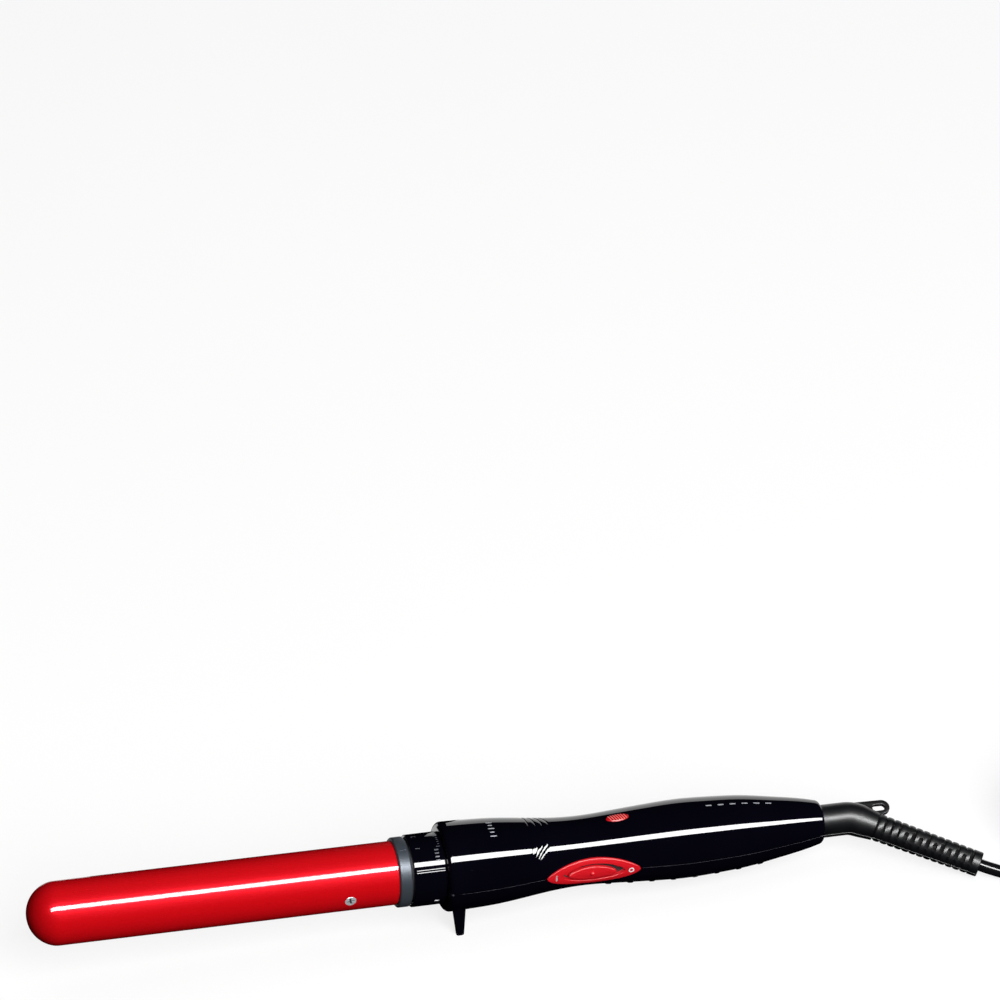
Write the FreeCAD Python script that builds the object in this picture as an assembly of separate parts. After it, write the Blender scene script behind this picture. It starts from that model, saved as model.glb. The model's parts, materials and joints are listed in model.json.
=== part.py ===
import FreeCAD, Part
import math
import os

# A clipless curling wand with its stand, swivel cord and plug, one STEP per piece.
# Wand frame, millimetres: X runs along the wand from just behind the handle's front face to the cord,
# Z points to the indicator lens, and the switch is on the -Y side. Everything on the wand is
# made in that frame, then pitched and lifted so that the stand and the cord guard rest on Z = 0.
V = FreeCAD.Vector
X_AXIS = V(1, 0, 0)
Y_AXIS = V(0, 1, 0)
Z_AXIS = V(0, 0, 1)
FAR = 60.0                       # further than any part of the wand's section reaches
RUN = 0.05                       # radial play of a running fit
GAP = 0.3                        # play beside a moving face

# How the wand stands
PITCH = 3.5                      # degrees, barrel up
FRONT = V(-26.88, 6.82, 27.46)   # where the wand frame's origin lies in the part's frame

# Barrel
BARREL_R = 12.5
BARREL_WALL = 1.0
BARREL_REAR = -19.5
BARREL_TIP = -163.8
DOME_DEPTH = 11.8
SHOULDER_R = 10.5                # the dome's outer arc; a flatter one crowns it
BARREL_SCREW_X = -39.1
BARREL_SCREW_TURN = 6.0          # about X: the switch side's screw sits a little low
SCREW_HEAD_R = 2.3
SCREW_SHANK_R = 1.2

# Neck, insulating ring and temperature dial
NECK_R = 12.0
NECK_BORE = 9.0
NECK_FRONT = -47.0
NECK_REAR = 14.0
RING_R = 13.75
RING_REAR = -14.5
DIAL_R = 14.2
DIAL_FRONT = -13.9
HANDLE_FRONT = -0.8
DIAL_REAR = HANDLE_FRONT - GAP
DIAL_RIB_ANGLE = 121.0           # from -Z over -Y: 90 is level with the parting plane
DIAL_TRAVEL = 150.0
TAB_WIDTH = 2.0
TAB_X = -4.5

# Handle
WALL = 2.2
RIM_R = 2.2
HANDLE_LENGTH = 155.6
HANDLE_REAR_R = 7.8
STATIONS = [(1.4, 17.7), (12.6, 17.4), (22.3, 16.85), (32.2, 15.75), (45.0, 14.3), (57.0, 13.8),
            (71.5, 14.5), (84.7, 15.3), (98.0, 15.8), (111.0, 15.3), (124.0, 14.3), (137.0, 12.3),
            (150.7, 9.8), (154.4, 8.9)]
CAVITY = (2.0, 141.0)
GROOVE_TOPS = [34.2, 37.1, 40.0, 42.9]
GROOVE_MEET = V(32.8, 0, 4.9)    # the grooves run together here, just above the parting plane
GRIP_RIBS = 8
GRIP_RIB_PITCH = 9.0
GRIP_RIB_FIRST = 65.3            # the screw wells then lie midway between ribs
SCREW_WELLS = [30.0, 80.0, 107.0]
BOSS_R = 2.8
CASE_SCREW_R = 1.3

# Switch
PLATE = (40.5, 12.3)             # length and width of the lens-shaped outlines
RECESS = (25.5, 8.3)
KNOB = (19.8, 6.3)
PLATE_X = 58.4
KNOB_X = 57.6
SWITCH_TRAVEL = 3.0
STEM = (2.0, 2.0)
SWITCH_X = (49.4, 68.4)
SWITCH_PINS = [52.4, 58.9, 65.4]

# Indicator lens and control board
LENS_X = 70.6
LENS = (9.2, 4.0)
BOARD_X = (38.0, 100.0)
BOARD_Z = (3.0, 4.4)
BOARD_WIDTH = 19.0
BOARD_RESTS = (42.2, 83.2)

# Stand
HINGE = V(7.2, 0, -11.0)
STAND_PIN_R = 1.1
HUB_R = 2.6
LEG_TOP = V(6.0, 6.5, -11.0)
LEG_FOOT = V(6.8, 10.0, -28.5)
LEG_TOP_SIZE = (6.2, 3.2)
LEG_FOOT_SIZE = (2.9, 2.6)
BAY = (2.2, 24.6)                # the stand's bay along X
BAY_ROOF = -7.6

# Swivelling cord guard
SWIVEL_TURN = -71.2              # about X: the bend lies towards the switch and a little down
PIPE_R = 6.6
FLANGE_X = (146.3, 148.7)
FLANGE_R = 7.9
SPIGOT_FRONT = 122.0
CORE_R = 4.2
SLIP_RINGS = [127.0, 133.0]
SLIP_RING_R = 5.0
SLIP_RING_LENGTH = 3.0
HOLDER_X = (124.0, 137.0)
HOLDER_Z = (-8.6, -7.0)
GUARD_FRONT = 152.0
BEND_X = 169.2
BEND_ANGLE = 31.6
BEND_R = 12.0
BEND_TO_RELIEF = 10.7
RELIEF_RIBS = 13
RELIEF_PITCH = 3.05
RELIEF_BAND = 4.0
RELIEF_R = (5.6, 5.05)
TAB_THICK = 1.8
EYE = (181.5, 2.8)               # centre of the hanging eye, along X and away from the axis
EYE_SIZE = (5.2, 2.85)
TAB_END_R = 3.2

# Cord, in the part's own frame
CORD_R = 2.5
LEAD = [V(213.5, -33.2, 2.8), V(230.9, -39.6, 3.0)]
FIRST_REST = 11.5                # from the guard to where the lead comes down
COIL_CENTRE = V(242.0, -9.0, 0)
COIL_R = (27.4, 32.6)            # the two columns of turns
COIL_LAYERS = 4
LAYER = 5.15
TIE_THICK = 0.5
TIE_WIDTH = 6.0
TIE_ANGLES = [25.0, 155.0]
TAIL = [V(242.0, -41.6, 18.45), V(257.0, -41.3, 16.0), V(272.0, -38.3, 8.6), V(286.0, -33.5, 3.1),
        V(299.0, -27.4, 3.0), V(310.4, -20.9, 6.4), V(319.0, -16.9, 6.4)]
PLUG_HEADING = 25.0
PLUG_RELIEF = 18.0
PLUG = (26.0, 24.0, 12.6)        # length, width, thickness
BLADE = (17.0, 6.3, 1.5)
BLADE_SPACING = 12.7


def box(x, y, z):
    """A box from three (low, high) pairs."""
    return Part.makeBox(x[1] - x[0], y[1] - y[0], z[1] - z[0], V(x[0], y[0], z[0]))


def tube(x0, x1, outer, inner=0.0):
    """A round bar or tube along X."""
    bar = Part.makeCylinder(outer, x1 - x0, V(x0, 0, 0), X_AXIS)
    if inner:
        bar = bar.cut(Part.makeCylinder(inner, x1 - x0 + 2, V(x0 - 1, 0, 0), X_AXIS))
    return bar


def post(x, y, z0, z1, radius):
    """A round bar along Z."""
    return Part.makeCylinder(radius, z1 - z0, V(x, y, z0), Z_AXIS)


def line(a, b):
    return Part.LineSegment(V(a[0], 0, a[1]), V(b[0], 0, b[1])).toShape()


def spun(edges):
    """The solid that an outline of edges in the XZ plane makes when it turns about X."""
    face = Part.Face(Part.Wire(Part.__sortEdges__(edges)))
    return face.revolve(V(0, 0, 0), X_AXIS, 360)


def spun_outline(points):
    return spun([line(a, b) for a, b in zip(points, points[1:] + points[:1])])


def joined(shapes):
    whole = shapes[0]
    for shape in shapes[1:]:
        whole = whole.fuse(shape)
    return whole.removeSplitter()


def without(shape, *others):
    for other in others:
        shape = shape.cut(other)
    return shape


def bent_tube(points, radius, bends=None):
    """A round cord or wire: straight runs joined by tangent arcs. Returns solid, length and arc radii."""
    edges = []
    radii = []
    start = points[0]
    for i in range(1, len(points) - 1):
        back = points[i - 1] - points[i]
        ahead = points[i + 1] - points[i]
        half_turn = (math.pi - back.getAngle(ahead)) / 2
        reach = 0.45 * min(back.Length, ahead.Length)
        if bends:
            reach = bends * math.tan(half_turn)
        bend = reach / math.tan(half_turn)
        back.normalize()
        ahead.normalize()
        into = points[i] + back * reach
        out = points[i] + ahead * reach
        inward = (back + ahead).normalize()
        middle = points[i] + inward * (bend / math.cos(half_turn) - bend)
        edges += [Part.LineSegment(start, into), Part.Arc(into, middle, out)]
        radii.append(bend)
        start = out
    edges.append(Part.LineSegment(start, points[-1]))
    path = Part.Wire([edge.toShape() for edge in edges])
    section = Part.Wire(Part.makeCircle(radius, points[0], points[1] - points[0]))
    return path.makePipeShell([section], True, False), path.Length, radii


def lens_prism(size, x, y0, y1, tip_radius):
    """A lens-shaped outline in the XZ plane, as a prism from y0 to y1."""
    half = size[0] / 2
    upper = Part.Arc(V(x - half, y0, 0), V(x, y0, size[1] / 2), V(x + half, y0, 0)).toShape()
    lower = Part.Arc(V(x + half, y0, 0), V(x, y0, -size[1] / 2), V(x - half, y0, 0)).toShape()
    prism = Part.Face(Part.Wire([upper, lower])).extrude(V(0, y1 - y0, 0))
    corners = [e for e in prism.Edges if abs(e.tangentAt(e.FirstParameter).y) > 0.99]
    return prism.makeFillet(tip_radius, corners)


def oval_prism(size, x, z0, z1):
    """An oval outline in the XY plane, as a prism from z0 to z1."""
    oval = Part.Ellipse(V(x + size[0] / 2, 0, z0), V(x, size[1] / 2, z0), V(x, 0, z0)).toShape()
    return Part.Face(Part.Wire(oval)).extrude(V(0, 0, z1 - z0))


def countersunk(head_r, shank_r, length):
    """A cross-head screw along +Z whose head's top is at the origin, and what cuts its open hole."""
    depth = head_r - shank_r
    head = Part.makeCone(shank_r, head_r, depth, V(0, 0, -depth), Z_AXIS)
    shank = Part.makeCylinder(shank_r, length, V(0, 0, -length), Z_AXIS)
    screw = head.fuse(shank)
    blade = head_r * 0.22
    cross = [box((-reach, reach), (-across, across), (-depth * 0.7, 1))
             for reach, across in ((head_r * 0.62, blade), (blade, head_r * 0.62))]
    above = Part.makeCylinder(head_r, 2.0)
    return without(screw, *cross), screw.fuse(above)


def handle_solid(inset=0.0):
    """The handle's outer form as one solid, drawn in by inset."""
    curve = Part.BSplineCurve()
    curve.interpolate([V(x, 0, r - inset) for x, r in STATIONS])
    first_x, first_r = STATIONS[0]
    last_x, last_r = STATIONS[-1]
    rim_mid = RIM_R * (1 - math.sqrt(0.5))
    front = (HANDLE_FRONT, first_r - inset - RIM_R)
    rim = Part.Arc(V(front[0], 0, front[1]), V(HANDLE_FRONT + rim_mid, 0, first_r - inset - rim_mid),
                   V(first_x, 0, first_r - inset))
    rear = (HANDLE_LENGTH, HANDLE_REAR_R - inset)
    tail = Part.Arc(V(last_x, 0, last_r - inset), V(last_x + 0.85, 0, last_r - inset - 0.45),
                    V(rear[0], 0, rear[1]))
    return spun([line((HANDLE_FRONT, 0), front), rim.toShape(), curve.toShape(), tail.toShape(),
                 line(rear, (HANDLE_LENGTH, 0)), line((HANDLE_LENGTH, 0), (HANDLE_FRONT, 0))])


def skin(outer, inner):
    """The layer of the handle's form between two insets."""
    return handle_solid(outer).cut(handle_solid(inner))


def half_space(upper):
    z = (0, FAR) if upper else (-FAR, 0)
    return box((-FAR, 4 * FAR), (-FAR, FAR), z)


def arc_about(centre, a, b):
    """The shorter arc from a to b about a centre, all in the XZ plane."""
    spokes = [V(p[0] - centre[0], 0, p[1] - centre[1]) for p in (a, b)]
    middle = (spokes[0] + spokes[1]).normalize() * spokes[0].Length
    ends = [V(p[0], 0, p[1]) for p in (a, b)]
    return Part.Arc(ends[0], V(centre[0], 0, centre[1]) + middle, ends[1]).toShape()


def domed_bar(inset):
    """The barrel's form as one solid, drawn in by inset: its dome is two tangent arcs."""
    start = BARREL_TIP + DOME_DEPTH
    radius = BARREL_R - inset
    depth = DOME_DEPTH - inset
    side = BARREL_R - SHOULDER_R
    spare = DOME_DEPTH - SHOULDER_R
    crown_x = (side ** 2 - spare ** 2) / (2 * spare)
    reach = (depth + crown_x) / math.hypot(crown_x, side)
    meet = (start + crown_x - crown_x * reach, side * reach)
    return spun([line((BARREL_REAR, 0), (BARREL_REAR, radius)), line((BARREL_REAR, radius), (start, radius)),
                 arc_about((start, side), (start, radius), meet),
                 arc_about((start + crown_x, 0), meet, (start - depth, 0)),
                 line((start - depth, 0), (BARREL_REAR, 0))])


def barrel():
    """A thin drawn tube with a domed end and two countersunk holes."""
    return without(domed_bar(0), domed_bar(BARREL_WALL), *[cutter for _, cutter in barrel_screw_pair()])


def barrel_screw_pair():
    screws = []
    for side in (-1, 1):
        turn = FreeCAD.Placement(V(BARREL_SCREW_X, side * (BARREL_R - 0.1), 0),
                                 FreeCAD.Rotation(X_AXIS, -90 * side))
        pair = [shape.transformed(turn.toMatrix()) for shape in countersunk(SCREW_HEAD_R, SCREW_SHANK_R, 4.0)]
        for shape in pair:
            shape.rotate(V(0, 0, 0), X_AXIS, BARREL_SCREW_TURN)
        screws.append(pair)
    return screws


def neck_sleeve():
    """Heat-resistant sleeve: plugs into the barrel, carries ring and dial, and is held by the shells."""
    inside_r = BARREL_R - BARREL_WALL - RUN
    sleeve = joined([tube(NECK_FRONT, BARREL_REAR, inside_r), tube(BARREL_REAR, NECK_REAR, NECK_R),
                     tube(9.0, 11.0, 15.0)])
    sleeve = sleeve.cut(tube(NECK_FRONT - 1, NECK_REAR + 1, NECK_BORE))
    half_travel = math.radians(DIAL_TRAVEL / 2 + 12)
    slot = tube(TAB_X - TAB_WIDTH / 2 - GAP, TAB_X + TAB_WIDTH / 2 + GAP, NECK_R + 1, NECK_BORE - 1)
    below = box((-FAR, FAR), (-FAR, FAR), (-FAR, NECK_R * math.cos(half_travel)))
    under_bay = box((1.0, NECK_REAR + 1), (-FAR, FAR), (-FAR, BAY_ROOF + 1.3))
    return without(sleeve, slot.cut(below), under_bay, *[cutter for _, cutter in barrel_screw_pair()])


def insulating_ring():
    edge = 0.5
    ring = spun_outline([(BARREL_REAR, NECK_R), (BARREL_REAR, RING_R - edge), (BARREL_REAR + edge, RING_R),
                         (RING_REAR - edge, RING_R), (RING_REAR, RING_R - edge), (RING_REAR, NECK_R)])
    tick = box((BARREL_REAR + 1.0, RING_REAR - 0.9), (-0.35, 0.35), (RING_R - 0.3, RING_R + 0.25))
    tick.rotate(V(0, 0, 0), X_AXIS, 12)
    return joined([ring, tick])


def dial_ring():
    """The temperature dial: a ring with one raised rib, and a tab that reaches the track through the neck."""
    edge = 0.6
    inner = NECK_R + RUN
    ring = spun_outline([(DIAL_FRONT, inner), (DIAL_FRONT, DIAL_R - edge), (DIAL_FRONT + edge, DIAL_R),
                         (DIAL_REAR, DIAL_R), (DIAL_REAR, inner)])
    rib = box((DIAL_FRONT + 1.2, DIAL_REAR - 0.6), (-0.9, 0.9), (-DIAL_R - 0.5, -DIAL_R + 0.8))
    rib = rib.makeFillet(0.4, [e for e in rib.Edges if abs(e.tangentAt(0).x) > 0.9
                               and e.CenterOfMass.z < -DIAL_R])
    rib.rotate(V(0, 0, 0), X_AXIS, -DIAL_RIB_ANGLE)
    tab = box((TAB_X - TAB_WIDTH / 2, TAB_X + TAB_WIDTH / 2), (-0.9, 0.9), (7.6, inner + 0.5))
    tab.rotate(V(0, 0, 0), X_AXIS, -DIAL_TRAVEL / 2)
    return joined([ring, rib, tab])


def dial_wiper():
    """A brass leaf on the dial's tab that sweeps the temperature track."""
    leaf = box((TAB_X + TAB_WIDTH / 2, TAB_X + TAB_WIDTH / 2 + 0.3), (-0.9, 0.9), (6.2, 8.8))
    toe = box((TAB_X + TAB_WIDTH / 2, -2.4), (-0.9, 0.9), (5.9, 6.2))
    wiper = joined([leaf, toe])
    wiper.rotate(V(0, 0, 0), X_AXIS, -DIAL_TRAVEL / 2)
    return wiper


def temperature_track():
    return tube(-2.2, -1.0, NECK_BORE, 4.8)


def heater_clamp(side):
    """A half-round aluminium shoe, hollow, that presses the heater slab's heat into the barrel."""
    length = (-128.0, -64.0)
    outer = tube(*length, BARREL_R - BARREL_WALL - RUN)
    hollow = tube(length[0] - 1, length[1] + 1, 9.2)
    keep = box((-4 * FAR, 0), (-FAR, FAR), (1.8, FAR))
    open_part = box((-4 * FAR, 0), (-FAR, FAR), (3.6, FAR))
    shoe = outer.common(keep).cut(hollow.common(open_part))
    if side < 0:
        shoe.rotate(V(0, 0, 0), X_AXIS, 180)
    return shoe


def heater_slab():
    return box((-124.0, -68.0), (-6.5, 6.5), (-1.8, 1.8))


def clamp_springs():
    """Two waved steel leaves beside the slab that push the shoes apart."""
    springs = []
    waves = 7
    pitch = 8.0
    thick = 0.25
    high = 1.8 - thick
    for side in (-1, 1):
        crest = [V(-124.0 + pitch * i, side * 8.2, high * (-1) ** i) for i in range(waves + 1)]
        low = [p + V(0, 0, -thick) for p in crest]
        up = [p + V(0, 0, thick) for p in crest]
        outline = Part.makePolygon(up + low[::-1] + [up[0]])
        springs.append(Part.Face(outline).extrude(V(0, side * 2.0, 0)))
    return Part.makeCompound(springs)


def thermal_fuse():
    fuse = Part.makeCylinder(1.75, 10.0, V(-61.0, 0, 2.7), X_AXIS)
    lead = Part.makeCylinder(0.4, 15.0, V(-64.0, 0, 2.7), X_AXIS)
    return joined([fuse, lead])


def wires(routes, radius, bend):
    return Part.makeCompound([bent_tube(route, radius, bend)[0] for route in routes])


def heater_wires():
    below_board = BOARD_Z[0]
    return wires([[V(-68.0, 3.0 * s, 0), V(2.0, 3.0 * s, 0), V(16.0, 5.2 * s, 0), V(40.5, 5.2 * s, 0),
                   V(40.5, 5.2 * s, below_board)] for s in (-1, 1)], 0.8, 1.4)


def supply_wires():
    return wires([[V(98.0, 6.0 * s, BOARD_Z[0]), V(98.0, 6.0 * s, 0), V(116.0, 5.2 * s, -1.5),
                   V(121.0, 2.8 * s, -7.8), V(HOLDER_X[0], 2.8 * s, -7.8)] for s in (-1, 1)], 0.7, 1.3)


def handle_shell(upper):
    """One half of the handle, with its ribs, bosses and openings."""
    body = handle_solid()
    cavity = handle_solid(WALL).common(box(CAVITY, (-FAR, FAR), (-FAR, FAR)))
    journal = tube(CAVITY[1] - 1, HANDLE_LENGTH + 1, PIPE_R + RUN)
    flange = tube(FLANGE_X[0] - GAP, FLANGE_X[1] + GAP, FLANGE_R + 0.2)
    neck_hole = tube(HANDLE_FRONT - 1, CAVITY[0] + 1, NECK_R)
    line_groove = box((HANDLE_FRONT - 1, HANDLE_LENGTH + 1), (-FAR, FAR), (-0.13, 0.13)).cut(handle_solid(0.25))
    half = half_space(upper)
    shell = without(body, cavity, journal, flange, neck_hole).common(half)
    webs = [tube(x, x + 1.6, FAR, NECK_R + 0.1) for x in (7.2, 11.2)]
    webs = [web.common(handle_solid(WALL - 0.1)).common(half) for web in webs]
    bosses = [boss(x, upper) for x in SCREW_WELLS]
    shell = joined([shell] + webs + bosses + board_rests(upper))
    plate_hole = lens_prism(PLATE, PLATE_X, -FAR, -6.0, 1.2)
    plate_seat = lens_prism((PLATE[0] + 3.6, PLATE[1] + 2.8), PLATE_X, -FAR, -6.0, 1.2)
    shell = without(shell, line_groove, plate_hole, plate_seat.common(handle_solid(WALL)))
    if upper:
        return upper_details(shell)
    return lower_details(shell)


def board_rests(upper):
    """Cross webs that hold the control board: from above in one shell, from below in the other."""
    rests = []
    for x in BOARD_RESTS:
        across = (x, x + 1.2)
        if upper:
            rests.append(box(across, (-FAR, FAR), (BOARD_Z[1], FAR)).common(handle_solid(WALL - 0.1)))
        else:
            web = box(across, (-FAR, FAR), (-FAR, 0)).common(handle_solid(WALL - 0.1))
            rests.append(web.fuse(box(across, (-8.0, 8.0), (0, BOARD_Z[0]))))
    return rests


def boss(x, upper):
    """A screw boss: the lower one carries the head in a well, the upper one holds the thread."""
    z = (BOARD_Z[0] - 3.0, FAR) if upper else (-FAR, 0.0)
    pillar = post(x, 0, z[0], z[1], BOSS_R).common(handle_solid(0.6))
    return pillar.cut(post(x, 0, -FAR, 7.0, CASE_SCREW_R))


def upper_details(shell):
    """Grip grooves, and the lens opening with its seat."""
    bite = skin(-1.0, 0.35)
    grooves = []
    crown = 14.8
    for top in GROOVE_TOPS:
        run = top - GROOVE_MEET.x
        rise = crown - GROOVE_MEET.z
        slab = box((-0.35, 0.35), (-FAR, FAR), (0, FAR))
        slab.rotate(V(0, 0, 0), Y_AXIS, math.degrees(math.atan2(run, rise)))
        slab.translate(GROOVE_MEET)
        grooves.append(slab.common(bite))
    lens_hole = oval_prism(LENS, LENS_X, 5.0, FAR)
    return without(shell, lens_hole, *grooves)


def lower_details(shell):
    """Grip ribs under the palm, screw wells and the bay that the stand folds into."""
    ribs = []
    ring_layer = skin(-0.35, 0.5)
    wedge = box((-FAR, 4 * FAR), (-9.0, 9.0), (-FAR, 0))
    for i in range(GRIP_RIBS):
        x = GRIP_RIB_FIRST + i * GRIP_RIB_PITCH
        ribs.append(ring_layer.common(box((x, x + 2.4), (-FAR, FAR), (-FAR, FAR))).common(wedge))
    lining = stand_bay(1.2).common(handle_solid(0.5))
    wells = [post(x, 0, -FAR, -9.6, 2.4) for x in SCREW_WELLS]
    holder_foot = post((HOLDER_X[0] + HOLDER_X[1]) / 2, 0, -FAR, HOLDER_Z[0], 2.0).common(handle_solid(0.5))
    shell = joined([shell, lining, holder_foot] + ribs)
    pin_hole = Part.makeCylinder(STAND_PIN_R, 2 * 11.4, V(HINGE.x, -11.4, HINGE.z), Y_AXIS)
    return without(shell, stand_bay(0), pin_hole, *wells)


def stand_bay(grow):
    """The space that the stand's legs sweep, widening to the rear, and with grow its lining."""
    front, rear = BAY
    outline = [V(front - grow, 9.0 + grow, 0), V(rear + grow, 12.6 + grow, 0),
               V(rear + grow, -12.6 - grow, 0), V(front - grow, -9.0 - grow, 0)]
    face = Part.Face(Part.makePolygon(outline + outline[:1]))
    bay = face.extrude(V(0, 0, FAR))
    bay.translate(V(0, 0, BAY_ROOF + grow - FAR))
    return bay


def handle_screws():
    """Three case screws, heads down in their wells."""
    screws = []
    for x in SCREW_WELLS:
        head = post(x, 0, -11.6, -9.6, 2.2)
        shank = post(x, 0, -9.6, 6.5, CASE_SCREW_R)
        slots = [box((x - a, x + a), (-b, b), (-12, -10.8)) for a, b in ((1.4, 0.35), (0.35, 1.4))]
        screws.append(without(joined([head, shank]), *slots))
    return Part.makeCompound(screws)


def switch_plate():
    """The lens-shaped surround, proud of the shells, with a recess for the knob and a rim behind them."""
    face = lens_prism(PLATE, PLATE_X, -FAR, -6.0, 1.2).common(skin(-0.5, WALL))
    rim = lens_prism((PLATE[0] + 3.4, PLATE[1] + 2.6), PLATE_X, -FAR, -6.0, 1.2).common(skin(WALL, 3.2))
    recess = lens_prism(RECESS, PLATE_X, -FAR, -6.0, 0.8).cut(handle_solid(0.9))
    slot = box((KNOB_X - 1.6, KNOB_X + SWITCH_TRAVEL + 1.6), (-FAR, -6.0), (-1.4, 1.4))
    return without(joined([face, rim]), recess, slot)


def switch_knob():
    pad = lens_prism(KNOB, KNOB_X, -FAR, -6.0, 1.2).common(skin(-0.9, 0.55))
    nub = Part.makeSphere(1.0, V(KNOB_X, -14.55, 0))
    stem = box((KNOB_X - STEM[0] / 2, KNOB_X + STEM[0] / 2), (-13.8, -8.4), (-STEM[1] / 2, STEM[1] / 2))
    return joined([pad, nub, stem])


def switch_body():
    block = box(SWITCH_X, (-9.6, -4.4), (-4.0, 2.8))
    slot = box((KNOB_X - 1.4, KNOB_X + SWITCH_TRAVEL + 1.4), (-10.0, -7.8), (-1.4, 1.4))
    pins = [post(x, -6.0, 2.7, 5.0, 0.4) for x in SWITCH_PINS]
    return joined([block.cut(slot)] + pins)


def indicator_lens():
    cap = oval_prism(LENS, LENS_X, 5.0, FAR).common(skin(-0.4, WALL))
    rim = oval_prism((LENS[0] + 0.8, LENS[1] + 2), LENS_X, 5.0, FAR).common(skin(WALL, WALL + 0.8))
    return joined([cap, rim])


def status_lamp():
    lamp = joined([post(LENS_X, 0, BOARD_Z[1], 8.6, 1.5), Part.makeSphere(1.5, V(LENS_X, 0, 8.6))])
    return lamp


def control_board():
    board = box(BOARD_X, (-BOARD_WIDTH / 2, BOARD_WIDTH / 2), BOARD_Z)
    pins = [post(x, -6.0, -FAR, FAR, 0.4) for x in SWITCH_PINS]
    return without(board, post(SCREW_WELLS[1], 0, -FAR, FAR, BOSS_R + 0.2), *pins)


def board_capacitor():
    can = box((86.0, 98.0), (-4.0, 4.0), (BOARD_Z[1], 10.2))
    return can.makeFillet(0.6, [e for e in can.Edges if abs(e.tangentAt(0).z) > 0.9])


def board_triac():
    case = box((44.0, 54.0), (-2.4, 2.4), (BOARD_Z[1], BOARD_Z[1] + 4.4))
    plate = box((54.0, 60.0), (-2.4, 2.4), (BOARD_Z[1], BOARD_Z[1] + 1.2))
    return without(joined([case, plate]), post(57.2, 0, 0, FAR, 1.4))


def stand():
    """A two-legged yoke on one hub. The feet are cut level where it rests."""
    parts = [Part.makeCylinder(HUB_R, 2 * 8.2, V(HINGE.x, -8.2, HINGE.z), Y_AXIS)]
    for side in (-1, 1):
        ends = []
        for centre, size in ((LEG_TOP, LEG_TOP_SIZE), (LEG_FOOT, LEG_FOOT_SIZE)):
            along, across = size[0] / 2, size[1] / 2
            y = centre.y * side
            corner = [V(centre.x + i * along, y + j * across, centre.z)
                      for i, j in ((-1, -1), (1, -1), (1, 1), (-1, 1))]
            ends.append(Part.makePolygon(corner + corner[:1]))
        leg = Part.makeLoft(ends, True)
        steep = [e for e in leg.Edges if abs(e.tangentAt(0).z) > 0.9]
        parts.append(leg.makeFillet(0.9, steep))
    yoke = joined(parts)
    yoke = yoke.cut(Part.makeCylinder(STAND_PIN_R + RUN, 4 * FAR, V(HINGE.x, -2 * FAR, HINGE.z), Y_AXIS))
    floor = box((-4 * FAR, 4 * FAR), (-FAR, FAR), (-FAR, 0))
    floor.Placement = to_row().inverse()
    return yoke.cut(floor)


def stand_pin():
    return Part.makeCylinder(STAND_PIN_R, 2 * 11.2, V(HINGE.x, -11.2, HINGE.z), Y_AXIS)


def swivel_spigot():
    """The hard core that turns in the handle's end and carries the slip rings."""
    core = [tube(SPIGOT_FRONT, CAVITY[1], CORE_R - 0.5), tube(CAVITY[1] + GAP, GUARD_FRONT, PIPE_R),
            tube(CAVITY[1] - 1, CAVITY[1] + 1, CORE_R - 0.5), tube(*FLANGE_X, FLANGE_R),
            tube(GUARD_FRONT, GUARD_FRONT + 8, 4.5)]
    return joined(core).cut(tube(SPIGOT_FRONT - 1, GUARD_FRONT + 9, 1.8))


def slip_rings():
    return Part.makeCompound([tube(x, x + SLIP_RING_LENGTH, SLIP_RING_R, CORE_R - 0.5) for x in SLIP_RINGS])


def brush_holder():
    return box(HOLDER_X, (-3.8, 3.8), HOLDER_Z)


def contact_brushes():
    """Two brass leaves, each just under its slip ring, on legs that stand in the holder."""
    brushes = []
    for x in SLIP_RINGS:
        span = (x + 0.4, x + SLIP_RING_LENGTH - 0.4)
        leaf = box(span, (-3.6, 3.6), (-SLIP_RING_R - 0.4, -SLIP_RING_R - 0.1))
        leg = box(span, (3.3, 3.6), (HOLDER_Z[1], -SLIP_RING_R - 0.2))
        brushes.append(joined([leaf, leg]))
    return Part.makeCompound(brushes)


def turned(shape):
    """Turns a piece of the cord guard, made with its bend in the XZ plane, to its rest position."""
    shape.rotate(V(0, 0, 0), X_AXIS, SWIVEL_TURN)
    return shape


def past_bend():
    """The place and direction of the cord guard's rear stretch, before it is turned."""
    return FreeCAD.Placement(V(BEND_X, 0, 0), FreeCAD.Rotation(Y_AXIS, BEND_ANGLE))


def relief_length():
    return RELIEF_RIBS * RELIEF_PITCH + RELIEF_BAND


def cord_guard():
    """A soft moulding: bent pipe, hanging loop and ribbed strain relief with side windows."""
    angle = math.radians(BEND_ANGLE)
    corner = V(BEND_X, 0, 0)
    relief_start = corner + V(math.cos(angle), 0, -math.sin(angle)) * BEND_TO_RELIEF
    pipe = bent_tube([V(GUARD_FRONT, 0, 0), corner, relief_start], PIPE_R, BEND_R)[0]
    relief = strain_relief()
    relief.Placement = past_bend()
    loop = hanging_loop()
    guard = joined([pipe, relief, loop]).cut(tube(GUARD_FRONT - 1, GUARD_FRONT + 8, 4.5))
    return turned(guard)


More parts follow.
